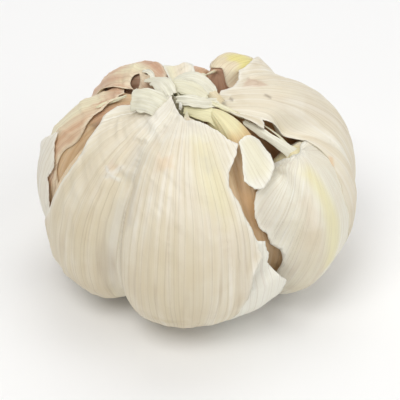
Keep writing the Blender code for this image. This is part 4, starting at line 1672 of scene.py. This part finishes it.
SHEETS = (  # in the order in which they lie on one another
    Sheet("left_skin",
          ((150, 54), (162, 58), (172, 56), (180, 50), (184, 44), (187, 39), (188, 31), (186, 26), (187, 19),
           (188, 12), (191, 2), (194, -12), (188, -24), (160, -26), (150, -16), (149, 30)),
          Slot.TAN, LOOSE_SKIN, passes=3, offset=0.28, thickness=0.12, step=0.9, curl=0.75, curl_width=3.0,
          calm_below=10.0, crumple=0.3, ribs=0.2, patches=(
              Patch(Tint.CREAM, ((146, 0), (174, 8), (178, 20), (177, 34), (176, 45), (164, 50), (146, 42)),
                    0.8, 9.0, 3.0),
              Patch(Tint.ROSE, ((148, 46), (164, 50), (172, 54), (166, 60), (150, 58)), 0.5, 6.0, 2.0),
              Patch(Tint.ROSE, ((179, 22), (190, 18), (192, 32), (186, 42), (180, 40)), 0.3, 6.0, 3.0),
              Stroke(Tint.ROSE, ((185, 43), (182, 34), (183, 24), (186, 12)), 2.2, 0.4),
              Stroke(Tint.ROSE, ((180, 47), (177, 38), (178, 26), (181, 12)), 2.0, 0.3),
              Patch(Tint.TAN, ((178, 22), (186, 16), (192, 20), (192, 34), (186, 42), (180, 44)), 0.3, 5.0,
                    3.0))),
    Sheet("back_left_skin",
          ((111, -10), (148, -12), (150, 22), (153, 44), (153, 54), (150, 58), (147, 63), (143, 68),
           (134, 71), (122, 70), (113, 64), (109, 46)),
          Slot.ROSE, LOOSE_SKIN, passes=3, offset=0.26, thickness=0.12, step=0.8, curl=0.6, crumple=0.3,
          ribs=0.2,
          holes=(((148, 55.5), (149.5, 59), (144.5, 62), (138.5, 62), (137, 60), (141, 57.5)),
                 ((133, 61), (136, 62), (136, 64), (132, 63.5))), patches=(
              Patch(Tint.CREAM, ((124, 50), (138, 46), (139, 53), (134, 60), (126, 60)), 0.8, 6.0, 2.5),
              Patch(Tint.CREAM, ((136, 56), (148, 44), (151, 46), (142, 60)), 0.35, 3.0, 2.0),
              Patch(Tint.ROSE, ((138, 28), (152, 26), (154, 52), (146, 55), (140, 46)), 0.45, 7.0, 2.5),
              Patch(Tint.ROSE, ((150, 56), (154, 56), (148, 66), (140, 66), (143, 61)), 0.7, 3.0, 1.0),
              Stroke(Tint.ROSE, ((147, 55), (149, 46), (149, 30)), 2.2, 0.4),
              Stroke(Tint.ROSE, ((142, 56), (144, 44), (143, 28)), 1.8, 0.35),
              Patch(Tint.ROSE, ((108, 40), (120, 44), (126, 60), (126, 70), (110, 66)), 0.65, 5.0, 2.0))),
    Sheet("back_right_skin",
          ((40, 0), (66, -6), (69, 28), (73, 48), (71, 60), (66, 65), (60, 65.5), (54, 63.5), (47, 63),
           (41, 63.5), (36, 62), (34, 50)),
          Slot.ROSE, LOOSE_SKIN, passes=3, offset=0.26, thickness=0.12, step=0.9, curl=0.6, crumple=0.2,
          ribs=0.12,
          patches=(
              Patch(Tint.YELLOW, ((62, 55), (60, 49), (50, 44), (38, 48), (38, 54), (46, 57.5), (56, 58.5)),
                    0.85, 4.5, 2.0),
              Patch(Tint.CREAM, ((36, 28), (74, 28), (74, 66), (60, 66), (40, 66)), 0.6, 6.0))),
    Sheet("back_scrap",
          ((80, 74), (84, 79), (104, 79), (114, 72), (113, 60), (107, 53), (100, 49), (92, 49), (87, 53),
           (84, 60), (80, 66)),
          Slot.INNER, INNER_PAPER, passes=6, offset=0.3, thickness=0.12, curl=0.6, crumple=0.4, ribs=0.2,
          step=0.9,
          patches=(Patch(Tint.TAN, ((90, 52), (100, 52), (102, 62), (92, 66)), 0.2, 6.0, 3.0),
                   Patch(Tint.YELLOW, ((100, 50), (112, 56), (112, 66), (104, 64)), 0.25, 5.0))),
    Sheet("gap_skin",
          ((-72, -16), (-46, -16), (-42, 0), (-42, 12), (-43, 28), (-42, 36), (-44, 46), (-50, 52), (-58, 54),
           (-66, 48), (-74, 38), (-75, 16)),
          Slot.TAN, TAN_SKIN, passes=18, offset=0.15, thickness=0.1, step=1.2, curl=0.0, crumple=0.1,
          ribs=0.1,
          patches=(Patch(Tint.TAN, ((-62, 2), (-46, 2), (-46, 30), (-62, 34)), 0.45, 6.0),)),
    Sheet("right_front_paper",
          ((-42, -56), (-8, -56), (-7, -30), (-8, -20), (-8, 5), (-9, 22), (-12, 33), (-16, 36.5),
           (-21, 36.5), (-25, 34.5), (-30, 35), (-33, 37), (-38, 38), (-43, 37), (-49, 35), (-54, 32),
           (-57, 28), (-58, 21), (-57, 15), (-54, 12), (-53, 7), (-50, 4), (-49, 0), (-50, -8), (-51, -20),
           (-50, -38)),
          Slot.INNER, INNER_PAPER, "paper_right_front", passes=14, offset=0.42, crumple=0.16, ribs=0.07,
          centre=(15.5, -6.9, 19.0), pole=(12.8, -5.7, 30.6), patches=(
              Patch(Tint.YELLOW, ((-30, 31), (-34.5, 30), (-36, 18), (-37, 4), (-36.5, -8), (-30, -8),
                                  (-30, 4), (-30.5, 18)), 0.4, 4.5, 0.6),
              # soft painted shade
              Patch(Tint.GREY, ((-44, 32), (-56, 28), (-57, 14), (-52, 8), (-47, 8), (-46, 24)), 0.16, 6.0),
              Patch(Tint.BEIGE, ((-37, 12), (-46, 14), (-47, -20), (-34, -22)), 0.4, 9.0, 3.0),
              Patch(Tint.TAN, ((-38, 24), (-42, 24), (-44, 4), (-39, 2)), 0.14, 4.0, 2.0))),
    Sheet("front_scrap",
          ((-84, -50), (-58, -50), (-55, -38), (-52, -27), (-51, -17), (-51, -7), (-56, -1), (-59, 4),
           (-58, 8), (-59, 13), (-62, 14), (-64, 18), (-68, 24), (-72, 24), (-71, 0), (-77, -14), (-86, -28)),
          Slot.INNER, INNER_PAPER, "paper_front_scrap", passes=160, offset=0.35, curl=0.15,
          creases=(Crease(((-62, 2), (-61, -12), (-61, -28), (-63, -46)), -2.2, 10.0),),
          patches=(Patch(Tint.WHITE, ((-72, 26), (-56, 20), (-52, -2), (-44, -8), (-50, -30), (-76, -20)),
                         0.5, 4.0),)),
    Sheet("front_flake",
          ((-36, 41.5), (-35, 49.5), (-40, 52.5), (-46, 54), (-53, 53), (-57, 44.5), (-61, 37.5), (-57, 33),
           (-52.5, 32), (-47, 34), (-40.5, 37.5)),
          Slot.INNER, INNER_PAPER, "paper_front_flake", passes=90, neck_passes=140, offset=0.45, step=0.7,
          ribs=0.14, curl=0.35,
          patches=(Patch(Tint.CREAM, ((-44, 36), (-39, 50), (-50, 56), (-58, 38)), 0.5, 5.0),)),
    Sheet("right_wrapper",
          ((0, -57), (66, -57), (70, -40), (72, -20), (72, 2), (66, 22), (58, 34), (51, 42), (48, 48),
           (43, 54.5), (41, 60), (31, 63), (20, 67.5), (13, 74), (-6, 76), (-22, 74), (-30, 68), (-31, 63),
           (-29, 58), (-27.5, 53), (-25, 50.5), (-20.5, 54), (-17.5, 49.5), (-16, 45.5), (-15, 42.5),
           (-12, 40), (-11, 38.3), (-13, 36.8), (-16, 35), (-17.5, 31), (-18, 27), (-20, 23), (-23, 15),
           (-22, 0), (-16, -20), (-8, -42)),
          Slot.OUTER, OUTER_PAPER, "wrapper_right", passes=36, neck_passes=200, calm_below=33.0, hug=0.2,
          step=0.72,
          patches=(
              Stroke(Tint.DARK, ((3, 70), (1, 69), (-1, 68)), 0.6, 0.6),
              Stroke(Tint.DARK, ((5, 56.5), (3, 55), (1, 53.5)), 0.7, 0.5),
              Patch(Tint.ROSE, ((31, 58.5), (28, 56), (15.5, 54), (14.8, 58), (17, 62), (17, 63.5), (23, 62)),
                    0.42, 1.6, 0.8),
              Patch(Tint.BEIGE, ((-20.5, 53), (-24, 62), (-28, 75), (-50, 76), (-38, 60), (-30, 48)), 0.6,
                    1.6, 0.6),
              # soft painted shade
              Patch(Tint.GREY, ((-2, 50), (14, 46), (20, 30), (6, 28), (-4, 38)), 0.13, 9.0, 3.0),
              Patch(Tint.TAN, ((-21, 25), (-17, 27), (-16, 25.5), (-20, 23.5)), 0.6, 1.2, 0.3)),
          creases=(Crease(((33, 58), (27, 55.5), (20, 54), (13, 51)), 0.7, 1.3),
                   Crease(((29, 60), (23, 59.5), (17, 58)), -0.6, 1.6),
                   Crease(((-22, 53), (-24, 60), (-28, 70)), -0.4, 2.0),
                   Crease(((8, 66), (7, 54), (3, 40), (-4, 26), (-8, 12)), 0.35, 1.3),
                   Crease(((20, 62), (18, 48), (12, 34), (4, 18)), 0.3, 1.3))),
    Sheet("back_wrapper",
          ((68, -57), (182, -57), (187, -38), (189, -20), (191, -2), (189, 6), (187, 11), (188, 17),
           (184, 23), (180, 29), (176, 24), (172, 15), (166, 10), (161, 9), (156, 12), (152, 10), (149, 4),
           (144, 3), (138, 6), (134, 13),
           (131, 15), (128, 10), (125, 4), (119, 1), (111, 4), (107, 9), (103, 11), (99, 8), (95, 2), (89, 2),
           (84, 6), (79, 7), (73, 1), (70, -16)),
          Slot.OUTER, OUTER_PAPER, "wrapper_back", passes=30, offset=0.45, ragged=1.2, calm_below=-16.0,
          patches=(Patch(Tint.WHITE, ((165, -30), (192, -20), (190, 14), (180, 30), (165, 12)), 0.5, 5.0),)),
    Sheet("front_wrapper",
          ((-166, -57), (-96, -57), (-88, -42), (-85, -34), (-79, -26), (-72, -17), (-69, -6), (-67, 2),
           (-62, 9), (-65, 22), (-67, 30), (-70, 37), (-68, 42), (-62, 47), (-55, 52), (-60, 56), (-63, 61),
           (-70, 65.5), (-80, 68),
           (-94, 70), (-103, 73), (-114, 77), (-130, 80), (-142, 79), (-160, 72), (-176, 64), (-177, 57),
           (-171, 50), (-163, 46), (-157, 40), (-153, 33), (-153, 20), (-155, 10), (-161, -2), (-165, -20)),
          Slot.OUTER, OUTER_PAPER, "wrapper_front", passes=34, neck_passes=240, pleats=0.55, crumple=0.22,
          step=0.85,
          creases=(
              Crease(((-123, 52), (-120, 38), (-118, 28), (-118, 16), (-117, 4), (-117, -10), (-120, -34)),
                     1.2, 1.6),
              Crease(((-127, 56), (-124, 49), (-120, 42)), 0.9, 4.0),
              Crease(((-103, -13), (-96, -14.5), (-88, -13.5)), -0.35, 0.6),
              Crease(((-100, 46), (-97, 30), (-96, 8), (-97, -16)), 0.25, 1.2),
              Crease(((-84, 56), (-80, 40), (-76, 20), (-75, -4)), 0.3, 1.4),
              Crease(((-136, 40), (-130, 37), (-125, 36)), -0.4, 0.8),
              Crease(((-134, 35), (-131, 38), (-128, 43)), -0.4, 0.8),
              Crease(((-93, 58), (-92, 66), (-93, 74)), 0.4, 1.6),
              Crease(((-108, 56), (-106, 66), (-104, 76)), 0.5, 2.0),
              Crease(((-120, 60), (-128, 70), (-134, 80), (-136, 88)), -1.0, 4.0),
              Crease(((-112, 60), (-116, 68), (-118, 78)), 0.6, 2.2)),
          patches=(
              # painted shade: the shadow in the groove between the two front lobes, the shaded fold beside
              # it, and a painted shadow line along the crease
              Patch(Tint.GREY, ((-130, 54), (-124, 54), (-118, 44), (-121, 38), (-127, 40)), 0.34, 6.0, 2.0),
              Patch(Tint.GREY, ((-119, 38), (-115, 36), (-112, 22), (-115, 20)), 0.3, 4.0, 1.0),
              Patch(Tint.GREY, ((-119, 30), (-124, 28), (-128, 4), (-124, -20), (-118, -10)), 0.2, 8.0, 2.0),
              Stroke(Tint.DARK, ((-119, 30), (-118, 16), (-117, 4), (-117, -10), (-119, -24)), 0.75, 0.3),
              Stroke(Tint.BEIGE, ((-104, -12), (-96, -14), (-88, -13)), 0.9, 0.7),
              Stroke(Tint.WHITE, ((-137, 39), (-130, 36.5), (-125, 36)), 0.8, 0.9),
              Stroke(Tint.WHITE, ((-133, 34), (-130, 38), (-127, 43)), 0.8, 0.8),
              Patch(Tint.BEIGE, ((-128, 26), (-138, 26), (-141, 8), (-134, -8), (-127, 4)), 0.6, 14.0, 3.0),
              Patch(Tint.BEIGE, ((-92, 26), (-104, 24), (-110, 2), (-100, -18), (-84, -14), (-82, 12)), 0.5,
                    18.0, 3.0),
              Patch(Tint.BEIGE, ((-152, 40), (-130, 48), (-121, 30), (-120, -20), (-150, -22), (-156, 8)),
                    0.3, 14.0, 3.0),
              Patch(Tint.TAN, ((-99, 50), (-108, 50), (-106, 43), (-97, 44)), 0.32, 4.0, 2.0),
              Patch(Tint.ROSE, ((-129, 42), (-135, 42), (-136, 37), (-130, 36)), 0.22, 3.0, 2.0),
              # painted shade on a soft dent of the paper
              Patch(Tint.GREY, ((-76, 52), (-83, 51), (-80, 44), (-73, 45)), 0.2, 6.0, 2.0),
              Patch(Tint.YELLOW, ((-78, 62), (-88, 60), (-84, 40), (-76, 22), (-70, 24), (-72, 44)), 0.16,
                    8.0, 3.0),
              Patch(Tint.CREAM, ((-66, 60), (-88, 62), (-84, 30), (-72, 30)), 0.35, 9.0, 3.0),
              Patch(Tint.WHITE, ((-90, 58), (-140, 58), (-150, 66), (-100, 84), (-60, 80), (-70, 60)), 0.4,
                    7.0, 3.0))),
)

STRIPS = (
    Ribbon("neck_tab", ((-4.9, -5.6, 42.8), (-6.9, -4.5, 43.3), (-9.2, -3.4, 43.2), (-11.3, -2.4, 42.4)),
           (5.0, 5.2, 5.0, 4.6), ((-0.1, -0.55, 0.83), (-0.1, -0.55, 0.83), (-0.25, -0.5, 0.83)), cup=0.04,
           ribs=0.16,
           # a touch of painted shade
           torn=0.35, tints=((Tint.WHITE, 0.35), (Tint.GREY, 0.06))),
    Ribbon("neck_cap", ((-3.2, -2.4, 43.1), (-4.2, -0.4, 44.0), (-5.4, 2.0, 43.8), (-6.8, 4.6, 42.5)),
           (2.6, 3.6, 3.6, 2.8), ((-0.3, -0.5, 1.0), (-0.3, -0.2, 1.0), (-0.3, 0.1, 1.0)), cup=0.09,
           tints=((Tint.WHITE, 0.5),)),
    Ribbon("neck_sheath_front", ((-2.4, -2.8, 42.8), (0.4, -3.8, 43.2), (3.4, -3.8, 42.6), (6.6, -1.8, 41.5)),
           (1.6, 2.4, 2.4, 1.8), ((-0.1, -0.7, 1.0), (0.0, -0.7, 1.0), (0.3, -0.6, 1.0)), cup=0.08, torn=0.4,
           tints=((Tint.WHITE, 0.5),)),
    Ribbon("neck_sheath_top", ((-4.4, 1.0, 43.1), (-1.6, 0.0, 44.3), (1.4, -1.3, 44.1), (4.2, -2.4, 42.8)),
           (2.4, 3.2, 3.2, 2.0), ((-0.1, -0.5, 1.0), (0.0, -0.5, 1.0), (0.3, -0.5, 1.0)), cup=0.09,
           tints=((Tint.YELLOW, 0.16), (Tint.WHITE, 0.35))),
    Ribbon("neck_sheath_back", ((-3.0, 3.6, 42.2), (0.2, 3.4, 43.8), (3.2, 2.0, 43.5), (5.6, 0.2, 42.1)),
           (2.8, 3.8, 3.6, 2.4), ((-0.1, -0.3, 1.0), (0.0, -0.3, 1.0), (0.2, -0.3, 1.0)), cup=0.09,
           tints=((Tint.WHITE, 0.5),)),
    Ribbon("neck_fold", ((3.0, 1.4, 42.1), (5.2, -0.4, 42.3), (7.2, -2.2, 41.5)), (1.8, 2.2, 1.4),
           ((0.1, -0.5, 1.0), (0.2, -0.5, 1.0)), cup=0.08, tints=((Tint.TAN, 0.3),)),
    Ribbon("neck_strip_back", ((0.6, 2.4, 41.8), (1.6, 5.0, 43.0), (2.5, 7.4, 42.2), (3.0, 9.0, 41.0)),
           (2.4, 3.0, 2.6, 1.8), ((0.0, -0.2, 1.0), (0.0, 0.3, 1.0)), cup=0.1),
    Ribbon("neck_strip_left", ((-1.8, 1.6, 41.8), (-4.4, 3.4, 43.2), (-6.8, 5.2, 42.4), (-8.8, 6.8, 41.2)),
           (2.2, 2.8, 2.4, 1.4), ((0.0, 0.0, 1.0), (-0.3, 0.2, 1.0)), cup=0.1, tints=((Tint.WHITE, 0.4),)),
    Ribbon("gap_band", ((-0.9, -4.4, 41.4), (1.7, -5.1, 41.4), (4.4, -5.7, 41.1), (6.9, -7.0, 40.6),
                        (9.0, -8.4, 40.1), (11.4, -9.5, 39.2)),
           (1.6, 2.6, 3.2, 3.6, 3.4, 1.6), ((0.1, -0.6, 0.8), (0.2, -0.5, 0.85), (0.3, -0.4, 0.9)), cup=0.1,
           torn=0.4,
           ribs=0.06, along=60, tints=((Tint.CREAM, 0.8), (Tint.YELLOW, 0.22))),
    Ribbon("right_front_strand", ((10.9, -5.6, 39.6), (13.9, -7.0, 38.3), (16.7, -8.1, 36.9),
                                  (19.6, -9.2, 35.4), (21.6, -10.1, 34.1)),
           (1.2, 1.7, 1.9, 2.4, 3.0), ((0.1, -0.75, 0.65), (0.1, -0.75, 0.65), (0.2, -0.65, 0.75)), cup=0.16,
           torn=1.2, ribs=0.05, along=60, tints=((Tint.WHITE, 0.6), (Tint.CREAM, 0.4))),
    Ribbon("neck_nub", ((-1.5, -4.9, 41.4), (-1.3, -4.5, 42.3), (-1.5, -3.9, 43.1)), (0.4, 0.7, 0.3),
           ((0.0, -0.8, 0.6), (0.2, -0.8, 0.6)), cup=0.1, torn=0.3, along=18, across=9,
           tints=((Tint.WHITE, 0.9),)),
    Ribbon("paper_band", ((3.9, -2.6, 42.4), (6.4, -3.7, 41.8), (8.8, -4.4, 40.9), (11.3, -4.9, 39.7)),
           (0.8, 1.0, 1.0, 0.6), ((0.2, -0.7, 0.7), (0.2, -0.7, 0.7)), cup=0.05, along=60,
           tints=((Tint.CREAM, 0.5),)),
    Ribbon("left_flap", ((-18.6, 0.6, 38.3), (-16.6, 1.4, 38.9), (-14.3, 1.9, 39.5), (-12.1, 2.2, 40.3)),
           (0.3, 0.7, 0.8, 0.4), ((-0.2, -0.6, 0.8), (-0.2, -0.6, 0.8)), cup=0.05,
           tints=((Tint.CREAM, 0.5),)),
    Ribbon("back_left_curl", ((-9.4, 9.4, 41.4), (-8.2, 8.4, 42.0), (-7.2, 6.8, 42.0), (-7.6, 5.6, 41.4)),
           (0.4, 0.9, 0.9, 0.4), ((-0.5, -0.2, 0.7), (-0.3, -0.3, 0.8), (0.2, -0.5, 0.8)), cup=-0.25,
           tints=((Tint.WHITE, 0.7),)),
    Ribbon("gap_fleck", ((9.2, -17.2, 31.7), (10.1, -16.9, 32.2), (11.0, -16.3, 32.5)), (0.2, 0.6, 0.2),
           ((0.5, -0.8, 0.3), (0.5, -0.8, 0.3)), cup=0.2, torn=0.3, along=18, across=7,
           tints=((Tint.WHITE, 0.9),)),
)


def main() -> None:
    logging.basicConfig(level=logging.INFO, format="%(message)s")
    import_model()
    shelf = Shelf()
    cloves = {clove.name: clove.dress(shelf) for clove in CLOVES}
    stalk = Neck().dress(shelf, STRIPS)
    RootPlate().dress(shelf)
    under = [*cloves.values(), stalk]
    for sheet in SHEETS:
        under.append(sheet.dress(shelf, Ground(under)))
    Studio().build()


if __name__ == "__main__":
    main()
